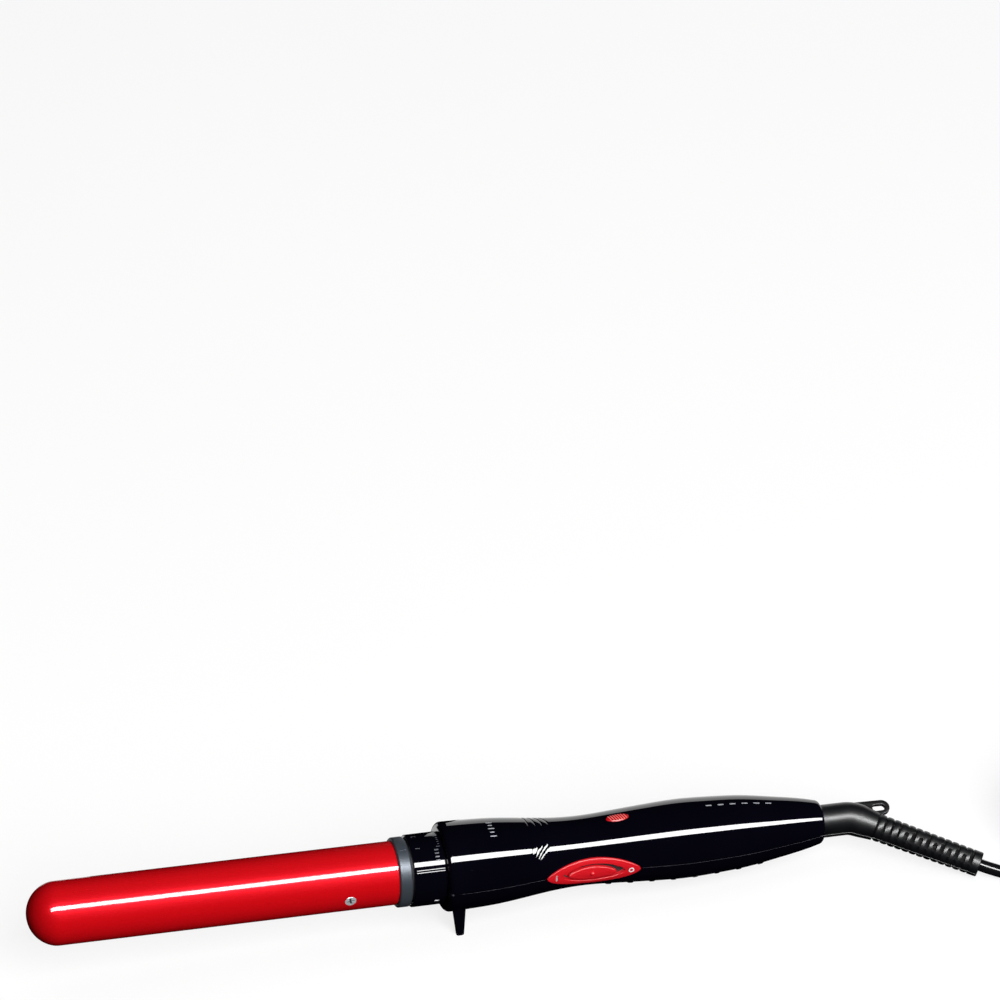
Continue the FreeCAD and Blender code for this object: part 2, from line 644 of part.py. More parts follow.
def strain_relief():
    """Ribs in pairs: each pair's gap is a short window, and the gaps between pairs reach further round."""
    start = BEND_TO_RELIEF
    end = start + relief_length()
    first, last = RELIEF_R

    def crest(x):
        return first + (last - first) * (x - start) / (end - start)

    edges = [line((start - 0.5, 0), (start - 0.5, crest(start) - 0.6))]
    edges.append(line((start - 0.5, crest(start) - 0.6), (start, crest(start) - 0.6)))
    for i in range(RELIEF_RIBS):
        x = start + i * RELIEF_PITCH
        valleys = [V(x + d, 0, crest(x + d) - 0.6) for d in (0, RELIEF_PITCH)]
        top = V(x + RELIEF_PITCH / 2, 0, crest(x))
        edges.append(Part.Arc(valleys[0], top, valleys[1]).toShape())
    band = end - RELIEF_BAND
    edges += [line((band, crest(band) - 0.6), (band, crest(band))), line((band, crest(band)), (end, last)),
              line((end, last), (end, 0)), line((end, 0), (start - 0.5, 0))]
    relief = spun(edges)
    windows = []
    for i in range(1, RELIEF_RIBS + 1):
        x = start + i * RELIEF_PITCH
        tall = 3.4 if i % 2 else 4.2
        for side in ((-FAR, -3.1), (3.1, FAR)):
            windows.append(box((x - 0.65, x + 0.65), side, (-tall, tall)))
    return without(relief, Part.makeCompound(windows))


def hanging_loop():
    """A flat tab that carries the pipe's outer line straight on, with a long eye."""
    x, z = EYE
    thick = (-TAB_THICK / 2, TAB_THICK / 2)
    root = BEND_X - 8.0
    end = Part.makeCylinder(TAB_END_R, TAB_THICK, V(x + 1.4, thick[0], z + 0.2), Y_AXIS)
    strap = box((root, x + 1.4), thick, (z + 0.2 - TAB_END_R, z + 0.2 + TAB_END_R))
    filler = Part.Face(Part.makePolygon([V(root, thick[0], 2), V(x + 0.5, thick[0], z - TAB_END_R + 0.3),
                                         V(x - 1.0, thick[0], -3), V(root, thick[0], -3),
                                         V(root, thick[0], 2)])).extrude(V(0, TAB_THICK, 0))
    eye = eye_cutter(x, z, thick)
    return without(joined([end, strap, filler]), eye)


def eye_cutter(x, z, thick):
    reach = EYE_SIZE[0] / 2 - EYE_SIZE[1] / 2
    ends = [Part.makeCylinder(EYE_SIZE[1] / 2, TAB_THICK, V(x + d, thick[0], z), Y_AXIS)
            for d in (-reach, reach)]
    middle = box((x - reach, x + reach), thick, (z - EYE_SIZE[1] / 2, z + EYE_SIZE[1] / 2))
    return joined(ends + [middle])


def to_row():
    """The placement that takes the wand's frame into the part's frame."""
    return FreeCAD.Placement(FRONT, FreeCAD.Rotation(Y_AXIS, PITCH))


def guard_exit():
    """The centre and direction of the cord guard's end face, in the part's frame."""
    turn = FreeCAD.Rotation(X_AXIS, SWIVEL_TURN)
    straight = past_bend()
    end = turn.multVec(straight.multVec(V(BEND_TO_RELIEF + relief_length(), 0, 0)))
    ahead = turn.multVec(straight.Rotation.multVec(X_AXIS))
    row = to_row()
    return row.multVec(end), row.Rotation.multVec(ahead)


def cord_lead():
    end, ahead = guard_exit()
    return cord_run("cord_lead", [end, end + ahead * FIRST_REST] + LEAD)


def cord_tail():
    return cord_run("cord_tail", TAIL)


def cord_run(name, points):
    solid, length, radii = bent_tube(points, CORD_R)
    section = math.pi * CORD_R ** 2
    print(name, "length", round(length, 1), "volume over section times length",
          round(solid.Volume / (section * length), 4), "radii", [round(r, 1) for r in radii])
    print(name, "points", [tuple(round(c, 1) for c in p) for p in points])
    return solid


def coil_height():
    return (COIL_LAYERS - 1) * LAYER + 2 * CORD_R


def around_coil(low, high, z0, z1):
    ring = Part.makeCylinder(high, z1 - z0, V(0, 0, z0)).cut(Part.makeCylinder(low, z1 - z0, V(0, 0, z0)))
    ring.translate(COIL_CENTRE)
    return ring


def cord_coil():
    return around_coil(COIL_R[0] - CORD_R, COIL_R[1] + CORD_R, TIE_THICK, TIE_THICK + coil_height())


def cord_ties():
    """Two flat bands, each round the bundle of turns."""
    low, high = COIL_R[0] - CORD_R, COIL_R[1] + CORD_R
    top = TIE_THICK + coil_height()
    ties = []
    for angle in TIE_ANGLES:
        band = box((low - TIE_THICK, high + TIE_THICK), (-TIE_WIDTH / 2, TIE_WIDTH / 2),
                   (0, top + TIE_THICK))
        band.rotate(V(0, 0, 0), Z_AXIS, angle)
        band.translate(COIL_CENTRE)
        ties.append(band.cut(cord_coil()))
    return Part.makeCompound([solid for tie in ties for solid in tie.Solids])


def at_plug(shape):
    shape.rotate(V(0, 0, 0), Z_AXIS, PLUG_HEADING)
    shape.translate(TAIL[-1])
    return shape


def plug_relief():
    """A tapered sleeve with cut rings."""
    start_r, end_r = CORD_R + 0.9, 4.6
    cone = Part.makeCone(start_r, end_r, PLUG_RELIEF, V(0, 0, 0), X_AXIS)
    rings = []
    for i in range(5):
        x = 2.2 + 3.0 * i
        rings.append(tube(x, x + 1.1, FAR, start_r - 0.2 + 0.06 * x))
    return at_plug(without(cone, *rings))


def plug_body():
    length, width, thick = PLUG
    body = box((PLUG_RELIEF, PLUG_RELIEF + length), (-width / 2, width / 2), (-thick / 2, thick / 2))
    taper = []
    for side in (-1, 1):
        corner = V(PLUG_RELIEF - 1, side * (width / 2 - 5.0), -FAR)
        edge = V(PLUG_RELIEF + 12.0, side * (width / 2), -FAR)
        out = V(PLUG_RELIEF - 1, side * FAR, -FAR)
        taper.append(Part.Face(Part.makePolygon([corner, edge, out, corner])).extrude(V(0, 0, 2 * FAR)))
    body = without(body, *taper)
    long_edges = [e for e in body.Edges if abs(e.tangentAt(0).z) < 0.1 and abs(e.tangentAt(0).x) > 0.5]
    return at_plug(body.makeFillet(2.5, long_edges))


def plug_blades():
    length, wide, thick = BLADE
    start = PLUG_RELIEF + PLUG[0]
    blades = []
    for side in (-1, 1):
        y = side * BLADE_SPACING / 2
        blade = box((start, start + length), (y - thick / 2, y + thick / 2), (-wide / 2, wide / 2))
        tip = [e for e in blade.Edges if e.CenterOfMass.x > start + length - 0.01
               and abs(e.tangentAt(0).y) > 0.9]
        blade = blade.makeFillet(1.5, tip)
        hole = Part.makeCylinder(1.6, 2 * thick, V(start + length - 4.5, y - thick, 0), Y_AXIS)
        blades.append(blade.cut(hole))
    return at_plug(Part.makeCompound(blades))


ON_WAND = {
    "barrel": barrel,
    "barrel_screws": lambda: Part.makeCompound([screw for screw, _ in barrel_screw_pair()]),
    "neck_sleeve": neck_sleeve,
    "insulating_ring": insulating_ring,
    "temperature_dial": dial_ring,
    "dial_wiper": dial_wiper,
    "temperature_track": temperature_track,
    "heater_clamp_upper": lambda: heater_clamp(1),
    "heater_clamp_lower": lambda: heater_clamp(-1),
    "heater_slab": heater_slab,
    "clamp_springs": clamp_springs,
    "thermal_fuse": thermal_fuse,
    "heater_wires": heater_wires,
    "supply_wires": supply_wires,
    "handle_upper_shell": lambda: handle_shell(True),
    "handle_lower_shell": lambda: handle_shell(False),
    "handle_screws": handle_screws,
    "switch_plate": switch_plate,
    "switch_knob": switch_knob,
    "switch_body": switch_body,
    "indicator_lens": indicator_lens,
    "status_lamp": status_lamp,
    "control_board": control_board,
    "board_capacitor": board_capacitor,
    "board_triac": board_triac,
    "stand": stand,
    "stand_pin": stand_pin,
    "swivel_spigot": swivel_spigot,
    "slip_rings": slip_rings,
    "brush_holder": brush_holder,
    "contact_brushes": contact_brushes,
    "cord_guard": cord_guard,
}
ON_SURFACE = {
    "cord_lead": cord_lead,
    "cord_coil": cord_coil,
    "cord_ties": cord_ties,
    "cord_tail": cord_tail,
    "plug_relief": plug_relief,
    "plug_body": plug_body,
    "plug_blades": plug_blades,
}


def main():
    os.makedirs("parts", exist_ok=True)
    whole = []
    for name, make in {**ON_WAND, **ON_SURFACE}.items():
        shape = make()
        if name in ON_WAND:
            shape = shape.transformed(to_row().toMatrix())
            whole.append(shape.optimalBoundingBox(False))
        shape.exportStep(f"parts/{name}.step")
        print(name, "solids", len(shape.Solids), "valid", shape.isValid(), "volume", round(shape.Volume, 1))
    for low, high in (("XMin", "XMax"), ("YMin", "YMax"), ("ZMin", "ZMax")):
        print("box of the wand", low[0], round(min(getattr(b, low) for b in whole), 3),
              round(max(getattr(b, high) for b in whole), 3))


main()
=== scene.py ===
import bmesh
import bpy
import json
import math
import numpy as np
from mathutils import Matrix, Vector


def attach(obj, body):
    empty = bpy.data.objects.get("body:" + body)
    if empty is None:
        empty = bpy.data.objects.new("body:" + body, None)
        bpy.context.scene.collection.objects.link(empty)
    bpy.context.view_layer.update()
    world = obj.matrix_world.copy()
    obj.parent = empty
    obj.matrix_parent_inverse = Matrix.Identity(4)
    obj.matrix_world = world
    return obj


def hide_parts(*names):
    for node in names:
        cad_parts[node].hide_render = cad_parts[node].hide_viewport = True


# A clipless curling wand in a plain studio. Every piece is made in millimetres in the wand's own
# frame (X along the wand to the cord, Z to the indicator lens, the switch on the -Y side), then
# placed in the part's frame, in metres.
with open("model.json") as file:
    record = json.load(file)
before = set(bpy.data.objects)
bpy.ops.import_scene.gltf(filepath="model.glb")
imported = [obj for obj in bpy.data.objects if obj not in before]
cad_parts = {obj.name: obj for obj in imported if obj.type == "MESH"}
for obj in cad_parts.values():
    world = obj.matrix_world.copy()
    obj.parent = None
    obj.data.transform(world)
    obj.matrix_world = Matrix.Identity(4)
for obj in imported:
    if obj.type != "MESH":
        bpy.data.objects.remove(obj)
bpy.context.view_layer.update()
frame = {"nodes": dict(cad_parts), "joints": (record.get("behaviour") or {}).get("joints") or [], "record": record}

SAME = 1e-4                      # points nearer than this are one point
MM = 0.001
ROUND = 128                      # steps round a full turn
DIAL_JOINT_X = -7.5              # where the dial's joint lies along the wand

# Barrel, ring and dial
BARREL_R = 12.5
BARREL_WALL = 1.0
BARREL_REAR = -19.5
BARREL_TIP = -163.8
DOME_DEPTH = 11.8
SHOULDER_R = 10.5
SCREW_X = -39.1
SCREW_TURN = 6.0
SCREW_HEAD_R = 2.3
SCREW_SINK = 0.1                 # how far the head's rim lies under the barrel's skin
SCREW_CONE = 1.1
SCREW_SET = 12.0                 # how far the cross is turned
RING_R = 13.75
RING_REAR = -14.5
DIAL_R = 14.2
DIAL_FRONT = -13.9
DIAL_REAR = -1.1
DIAL_RIB_TURN = 126.5            # from straight down over the switch side
NECK_R = 12.05

# Handle
HANDLE_FRONT = -0.8
HANDLE_LENGTH = 155.6
HANDLE_REAR_R = 7.8
RIM_R = 2.2
WALL = 2.2
JOURNAL_R = 6.65
CAVITY = (2.0, 141.0)
STATIONS = [(1.4, 17.7), (12.6, 17.4), (22.3, 16.85), (32.2, 15.75), (45.0, 14.3), (57.0, 13.8),
            (71.5, 14.5), (84.7, 15.3), (98.0, 15.8), (111.0, 15.3), (124.0, 14.3), (137.0, 12.3),
            (150.7, 9.8), (154.4, 8.9)]
SEAM_EASE = 0.24
RIM_INSIDE_R = 14.0              # the seam's eased edges stop inside this radius at the rim
TAIL_X = 154.0
TAIL_INSIDE_R = 7.5              # and inside this one at the tail
GROOVE_TOPS = [34.2, 37.1, 40.0, 42.9]
GROOVE_MEET = Vector((32.8, 0, 4.9))
GROOVE_CROWN = 14.8
GROOVE_HALF = 0.40
GROOVE_DEPTH = 0.14
GROOVE_FADE = 2.5                # the grooves fade in over this height above their meeting point
RIBS = [65.3 + 9.0 * i for i in range(8)]
RIB_WIDTH = 2.4
RIB_REACH = 9.0
SCREW_WELLS = [30.0, 80.0, 107.0]
WELL_R = 2.4
WELL_TOP = -9.6
CASE_SCREW_Z = -11.6

# Switch and lens
PLATE_X = 58.1
KNOB_X = 57.6
LENS_X = 70.6
LENS_RISE = 0.12
MARK_OFF = 15.2                  # the on and off marks' distance from the surround's middle

# Stand
HINGE = Vector((7.2, 0, -11.0))
HUB_R = 2.6
LEG_TOP = Vector((6.0, 6.5, -11.0))
LEG_FOOT = Vector((6.8, 10.0, -28.5))
LEG_TOP_SIZE = (6.2, 3.2)
LEG_FOOT_SIZE = (2.9, 2.6)
BAY = [(2.2, 9.0), (24.6, 12.6)]  # place along the wand and half width, front and rear
BAY_ROOF = -7.6

# Cord guard
SWIVEL_TURN = -71.2
PIPE_R = 6.6
GUARD_FRONT = 152.0
BEND_X = 169.2
BEND_ANGLE = 31.6
BEND_R = 12.0
BEND_TO_RELIEF = 10.7
RELIEF_RIBS = 13
RELIEF_PITCH = 3.05
RELIEF_BAND = 4.0
RELIEF_R = (5.6, 5.05)
VALLEY = 0.62
NARROW_SLOTS = 3                 # the first slots are narrower
TAB_THICK = 1.8
EYE = (181.5, 2.8)
EYE_SIZE = (5.2, 2.85)
TAB_END_R = 3.2

# Cord, in the part's frame, metres
CORD_R = 0.0025
LEAD = [(0.1876, -0.0201, 0.0051), (0.1973, -0.0258, 0.0026), (0.2135, -0.0332, 0.0027)]
COIL_CENTRE = (0.242, -0.009)
COIL_R = (0.0274, 0.0326)
COIL_LAYERS = 4
LAYER = 0.00515
FIRST_LAYER = 0.003
JOIN_ANGLE = -110.0
LEAVE_ANGLE = -90.0
TURN_POINTS = 18
TAIL = [(0.257, -0.0413, 0.016), (0.272, -0.0383, 0.0086), (0.286, -0.0335, 0.0031),
        (0.299, -0.0274, 0.003), (0.3104, -0.0209, 0.0064), (0.319, -0.0169, 0.0064)]
TIE_ANGLES = [25.0, 155.0]
PLUG_HEADING = 25.0

# Studio
VIEW_RISE = 41.0                 # how steeply the camera sees the wand's cross-section
STRIP_ABOVE_VIEW = 14.5
STRIP_REACH = 0.9
STRIP_MIDDLE = 300.0
CARD_Y = 0.5


def wand_place():
    """The placement that takes the wand's frame, in millimetres, into the part's frame."""
    dial = next(j for j in frame["joints"] if j["name"] == "dial_turn")
    along = Vector(dial["axis"]).normalized()
    across = Vector((0, 1, 0))
    turn = Matrix((along, across, along.cross(across))).transposed().to_4x4()
    origin = Vector(dial["pos_m"]) - along * DIAL_JOINT_X * MM
    return Matrix.Translation(origin) @ turn @ Matrix.Scale(MM, 4)


def about_x(degrees):
    return Matrix.Rotation(math.radians(degrees), 4, "X")


def about_y(degrees):
    return Matrix.Rotation(math.radians(degrees), 4, "Y")


def about_z(degrees):
    return Matrix.Rotation(math.radians(degrees), 4, "Z")


WAND = wand_place()
GUARD = WAND @ about_x(SWIVEL_TURN)
PART = Matrix.Scale(MM, 4)
CORNERS = ((-1, -1), (1, -1), (1, 1), (-1, 1))


# Shaping

def added(name, data):
    obj = bpy.data.objects.new(name, data)
    bpy.context.collection.objects.link(obj)
    return obj


def meshed(bm, name="spare"):
    mesh = bpy.data.meshes.new(name)
    bm.to_mesh(mesh)
    bm.free()
    return mesh


def edges_in(found):
    return [e for e in found if isinstance(e, bmesh.types.BMEdge)]


def wire(bm, points, closed=True):
    """A run of edges through points."""
    verts = [bm.verts.new(p) for p in points]
    ends = verts[1:] + (verts[:1] if closed else [])
    return verts + [bm.edges.new(pair) for pair in zip(verts, ends)]


def spun(outline, closed=True, steps=ROUND):
    """An outline of (place along the axis, radius) turned right round the X axis."""
    bm = bmesh.new()
    ring = wire(bm, [(x, 0, r) for x, r in outline], closed)
    bmesh.ops.spin(bm, geom=ring, cent=(0, 0, 0), axis=(1, 0, 0), dvec=(0, 0, 0), angle=2 * math.pi,
                   steps=steps, use_merge=True, use_duplicate=False)
    bmesh.ops.remove_doubles(bm, verts=bm.verts, dist=SAME)
    bmesh.ops.recalc_face_normals(bm, faces=bm.faces)
    return bm


def swept(outline, start, turn, steps):
    """A closed outline of (place along, radius) turned part of the way round X, as a closed solid."""
    bm = bmesh.new()
    face = bm.faces.new([bm.verts.new((x, r, 0)) for x, r in outline])
    bmesh.ops.transform(bm, matrix=about_x(start), verts=bm.verts)
    bmesh.ops.spin(bm, geom=list(face.verts) + list(face.edges) + [face], cent=(0, 0, 0), axis=(1, 0, 0),
                   dvec=(0, 0, 0), angle=math.radians(turn), steps=steps, use_merge=False)
    bmesh.ops.remove_doubles(bm, verts=bm.verts, dist=SAME)
    bmesh.ops.recalc_face_normals(bm, faces=bm.faces)
    return bm


def eased(outline, radius, cuts=3):
    """A closed outline with each corner rounded off."""
    result = []
    for i, corner in enumerate(outline):
        here = Vector(corner)
        ends = []
        for other in (outline[i - 1], outline[(i + 1) % len(outline)]):
            way = Vector(other) - here
            ends.append(here + way.normalized() * min(radius, way.length * 0.45))
        for k in range(cuts + 1):
            t = k / cuts
            result.append(ends[0] * (1 - t) ** 2 + here * 2 * t * (1 - t) + ends[1] * t * t)
    return [tuple(p) for p in result]


def lofted(rings, cap=True):
    """Closed rings of equal count, bridged in turn into one skin."""
    bm = bmesh.new()
    loops = []
    for ring in rings:
        loops.append(edges_in(wire(bm, ring)))
    for low, high in zip(loops, loops[1:]):
        bmesh.ops.bridge_loops(bm, edges=low + high)
    if cap:
        bmesh.ops.holes_fill(bm, edges=[e for e in bm.edges if e.is_boundary], sides=0)
    bmesh.ops.recalc_face_normals(bm, faces=bm.faces)
    return bm


def moved_verts(made):
    return [v for v in made["geom"] if isinstance(v, bmesh.types.BMVert)]


def thickened(bm, depth):
    """Draws a flat shape out along Y into a solid."""
    made = bmesh.ops.extrude_face_region(bm, geom=list(bm.faces))
    bmesh.ops.translate(bm, vec=(0, depth, 0), verts=moved_verts(made))
    bmesh.ops.recalc_face_normals(bm, faces=bm.faces)
    return bm


def block(x, y, z):
    """A box from three (low, high) pairs."""
    size = Matrix.Diagonal((x[1] - x[0], y[1] - y[0], z[1] - z[0], 1))
    middle = Matrix.Translation((sum(x) / 2, sum(y) / 2, sum(z) / 2))
    bm = bmesh.new()
    bmesh.ops.create_cube(bm, size=1, matrix=middle @ size)
    return bm


def post(x, y, z, radius, steps=32):
    """A round bar along Z."""
    bm = bmesh.new()
    bmesh.ops.create_cone(bm, cap_ends=True, segments=steps, radius1=radius, radius2=radius,
                          depth=z[1] - z[0], matrix=Matrix.Translation((x, y, sum(z) / 2)))
    return bm


def turned(bm, matrix):
    bmesh.ops.transform(bm, matrix=matrix, verts=bm.verts)
    return bm


def together(*shapes):
    whole = shapes[0]
    for shape in shapes[1:]:
        mesh = meshed(shape)
        whole.from_mesh(mesh)
        bpy.data.meshes.remove(mesh)
    return whole


def softened(bm, width, angle=50, cuts=3, keep=None):
    """Rounds every edge sharper than the angle, or those of them that keep() picks."""
    sharp = [e for e in bm.edges if e.is_manifold and e.calc_face_angle(0) > math.radians(angle)
             and (keep is None or keep(e))]
    bmesh.ops.bevel(bm, geom=sharp, offset=width, offset_type="OFFSET", segments=cuts, profile=0.5,
                    affect="EDGES", clamp_overlap=True, material=-1)
    return bm


def carved(shape, tool, operation="DIFFERENCE"):
    """One closed shape cut by, joined to or kept inside another."""
    pair = [added("spare", meshed(bm)) for bm in (shape, tool)]
    cut = pair[0].modifiers.new("cut", "BOOLEAN")
    cut.object = pair[1]
    cut.operation = operation
    cut.solver = "EXACT"
    graph = bpy.context.evaluated_depsgraph_get()
    mesh = bpy.data.meshes.new_from_object(pair[0].evaluated_get(graph))
    result = bmesh.new()
    result.from_mesh(mesh)
    for obj in pair:
        bpy.data.objects.remove(obj)
    bpy.data.meshes.remove(mesh)
    bmesh.ops.remove_doubles(result, verts=result.verts, dist=SAME)
    return result


def crossed(head, reach, half, depth):
    """Cuts a cross recess into a screw head that faces +Z."""
    for x, y in ((reach, half), (half, reach)):
        head = carved(head, block((-x, x), (-y, y), (-depth, 1)))
    return head


def piece(name, bm, slot, body, nodes=(), place=WAND, crease=32, ink=None):
    """Makes a shape a piece that rides on a body and stands for nodes, in its slot's finish or an ink."""
    bmesh.ops.remove_doubles(bm, verts=bm.verts, dist=SAME)
    bmesh.ops.recalc_face_normals(bm, faces=bm.faces)
    mesh = meshed(bm, name)
    mesh.transform(place)
    mesh.polygons.foreach_set("use_smooth", [True] * len(mesh.polygons))
    mesh.set_sharp_from_angle(angle=math.radians(crease))
    mesh.materials.append(FINISHES[ink or slot])
    obj = added(name, mesh)
    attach(obj, body)
    if nodes:
        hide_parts(*nodes)
    return obj


# Finishes

def set_sockets(node, values):
    for label, value in values.items():
        node.inputs[label].default_value = value


def effect_group(name, inputs, outputs):
    group = bpy.data.node_groups.new(name, "ShaderNodeTree")
    for label, value in inputs:
        kind = "NodeSocketVector" if value is None else "NodeSocketFloat"
        socket = group.interface.new_socket(name=label, in_out="INPUT", socket_type=kind)
        if value is not None:
            socket.default_value = value
    for label in outputs:
        group.interface.new_socket(name=label, in_out="OUTPUT", socket_type="NodeSocketFloat")
    return group, group.nodes.new("NodeGroupInput"), group.nodes.new("NodeGroupOutput")


def surface_group():
    """Slow patches for shade and gloss, and fine grain for the skin."""
    group, given, made = effect_group("moulded_surface", [("Vector", None), ("Patch Scale", 60.0),
                                                          ("Grain Scale", 3000.0)], ["Patches", "Grain"])
    for scale, detail, result in (("Patch Scale", 3.0, "Patches"), ("Grain Scale", 1.0, "Grain")):
        noise = group.nodes.new("ShaderNodeTexNoise")
        noise.inputs["Detail"].default_value = detail
        group.links.new(given.outputs["Vector"], noise.inputs["Vector"])
        group.links.new(given.outputs[scale], noise.inputs["Scale"])
        group.links.new(noise.outputs["Fac"], made.inputs[result])
    return group


def flake_group():
    """Tiny metal flakes that each shine a little differently."""
    group, given, made = effect_group("metal_flakes", [("Vector", None), ("Flake Scale", 5000.0)],
                                      ["Flakes"])
    cells = group.nodes.new("ShaderNodeTexVoronoi")
    shade = group.nodes.new("ShaderNodeRGBToBW")
    group.links.new(given.outputs["Vector"], cells.inputs["Vector"])
    group.links.new(given.outputs["Flake Scale"], cells.inputs["Scale"])
    group.links.new(cells.outputs["Color"], shade.inputs["Color"])
    group.links.new(shade.outputs["Val"], made.inputs["Flakes"])
    return group


SURFACE = surface_group()
FLAKES = flake_group()


def finish(name, light, dark, rough, metallic=0.0, coat=0.0, patch=60.0, grain=3000.0, bump=0.1,
           depth=0.00003, flakes=None, specular=0.5, tint=(1, 1, 1, 1)):
    """A material whose colour and gloss drift between two near values, with a fine grain."""
    made = bpy.data.materials.new(name)
    made.use_nodes = True
    tree = made.node_tree
    shader = tree.nodes["Principled BSDF"]
    set_sockets(shader, {"Metallic": metallic, "Coat Weight": coat, "Coat Roughness": 0.02,
                         "Specular IOR Level": specular, "Specular Tint": tint})
    place = tree.nodes.new("ShaderNodeTexCoord").outputs["Object"]
    surface = tree.nodes.new("ShaderNodeGroup")
    surface.node_tree = SURFACE
    set_sockets(surface, {"Patch Scale": patch, "Grain Scale": grain})
    tree.links.new(place, surface.inputs["Vector"])
    mask = surface.outputs["Patches"]
    if flakes is not None:
        specks = tree.nodes.new("ShaderNodeGroup")
        specks.node_tree = FLAKES
        specks.inputs["Flake Scale"].default_value = flakes
        tree.links.new(place, specks.inputs["Vector"])
        mask = specks.outputs["Flakes"]
    colour = tree.nodes.new("ShaderNodeMix")
    colour.data_type = "RGBA"
    colour.inputs["A"].default_value = (*dark, 1)
    colour.inputs["B"].default_value = (*light, 1)
    tree.links.new(mask, colour.inputs["Factor"])
    tree.links.new(colour.outputs["Result"], shader.inputs["Base Color"])
    gloss = tree.nodes.new("ShaderNodeMapRange")
    set_sockets(gloss, {"To Min": rough[0], "To Max": rough[1]})
    tree.links.new(surface.outputs["Patches"], gloss.inputs["Value"])
    tree.links.new(gloss.outputs["Result"], shader.inputs["Roughness"])
    skin = tree.nodes.new("ShaderNodeBump")
    set_sockets(skin, {"Strength": bump, "Distance": depth})
    tree.links.new(surface.outputs["Grain"], skin.inputs["Height"])
    tree.links.new(skin.outputs["Normal"], shader.inputs["Normal"])
    return made


# Each finish: its light and dark shade, its roughness from and to, and what else sets it apart
FINISH_TABLE = {
    "barrel_red": ((0.66, 0.0040, 0.0085), (0.56, 0.0025, 0.0050), (0.30, 0.36),
                   dict(metallic=0.15, coat=0.9, patch=40, grain=900, bump=0.02, flakes=4200, specular=0.12,
                        tint=(1.0, 0.35, 0.6, 1))),
    "ring_grey": ((0.060, 0.072, 0.088), (0.045, 0.055, 0.070), (0.36, 0.44),
                  dict(metallic=0.35, patch=90, bump=0.25)),
    "handle_black": ((0.0022, 0.0020, 0.0048), (0.0008, 0.0007, 0.0026), (0.025, 0.045),
                     dict(patch=35, grain=700, bump=0.02)),
    "switch_red": ((0.66, 0.010, 0.018), (0.60, 0.007, 0.014), (0.22, 0.28), dict(patch=120, bump=0.05)),
    "lens_red": ((0.62, 0.008, 0.014), (0.42, 0.004, 0.008), (0.06, 0.1), dict(patch=300, bump=0.05)),
    "guard_black": ((0.0032, 0.0036, 0.0048), (0.0012, 0.0014, 0.0022), (0.32, 0.40),
                    dict(patch=120, grain=5200, bump=0.35, depth=0.00004, specular=0.48)),
    "cord_black": ((0.006, 0.006, 0.007), (0.003, 0.003, 0.004), (0.14, 0.2),
                   dict(patch=80, grain=1500, bump=0.06)),
    "screw_chrome": ((0.80, 0.82, 0.84), (0.66, 0.68, 0.70), (0.24, 0.34), dict(metallic=0.45, patch=500)),
    "screw_steel": ((0.62, 0.62, 0.60), (0.48, 0.48, 0.47), (0.3, 0.42),
                    dict(metallic=1.0, patch=400, bump=0.15)),
    "inner_black": ((0.03, 0.03, 0.032), (0.018, 0.018, 0.02), (0.5, 0.62), dict(patch=90, bump=0.3)),
    "shoe_aluminium": ((0.80, 0.81, 0.82), (0.66, 0.67, 0.69), (0.32, 0.45),
                       dict(metallic=1.0, patch=70, bump=0.2)),
    "slab_white": ((0.84, 0.82, 0.77), (0.74, 0.71, 0.65), (0.6, 0.72), dict(patch=110, bump=0.3)),
    "contact_brass": ((0.82, 0.62, 0.27), (0.66, 0.47, 0.18), (0.24, 0.36), dict(metallic=1.0, patch=300)),
    "board_green": ((0.03, 0.17, 0.06), (0.015, 0.10, 0.035), (0.34, 0.45), dict(patch=260, bump=0.15)),
    "wire_white": ((0.78, 0.76, 0.70), (0.62, 0.60, 0.54), (0.6, 0.75),
                   dict(patch=400, grain=6000, bump=0.4)),
    "tie_black": ((0.020, 0.020, 0.022), (0.010, 0.010, 0.012), (0.6, 0.75),
                  dict(patch=500, grain=2500, bump=0.5, depth=0.0001)),
    # The seam's grey stands for light caught along the parting line: a painted highlight.
    "seam_painted_highlight": ((0.16, 0.165, 0.18), (0.09, 0.093, 0.105), (0.4, 0.5), dict(patch=300)),
    # The lens ribs' pale pink is painted glints.
    "rib_painted_glint": ((0.90, 0.42, 0.38), (0.74, 0.18, 0.17), (0.15, 0.25), dict(patch=600)),
    "print_white": ((0.88, 0.88, 0.90), (0.78, 0.79, 0.81), (0.4, 0.5), dict(patch=600)),
    "print_silver": ((0.52, 0.54, 0.58), (0.40, 0.42, 0.46), (0.35, 0.45), dict(metallic=0.3, patch=600)),
    "print_dim": ((0.10, 0.11, 0.13), (0.07, 0.075, 0.09), (0.4, 0.5), dict(patch=600)),
}
FINISHES = {name: finish(name, light, dark, rough, **rest)
            for name, (light, dark, rough, rest) in FINISH_TABLE.items()}


# Camera and cord first

def camera():
    """Looks along the wand's switch side, from above and from beyond the barrel's tip."""
    place = Vector((-0.35181, -1.31837, 1.20146))
    aim = Vector((0.06633, 0.27288, 0))
    eye = bpy.data.cameras.new("camera")
    eye.lens = 165.2
    eye.sensor_width = 36
    obj = added("camera", eye)
    level = (aim - place).to_track_quat("-Z", "Y").to_matrix().to_4x4()
    obj.matrix_world = Matrix.Translation(place) @ level @ about_z(0.198)
    bpy.context.scene.camera = obj


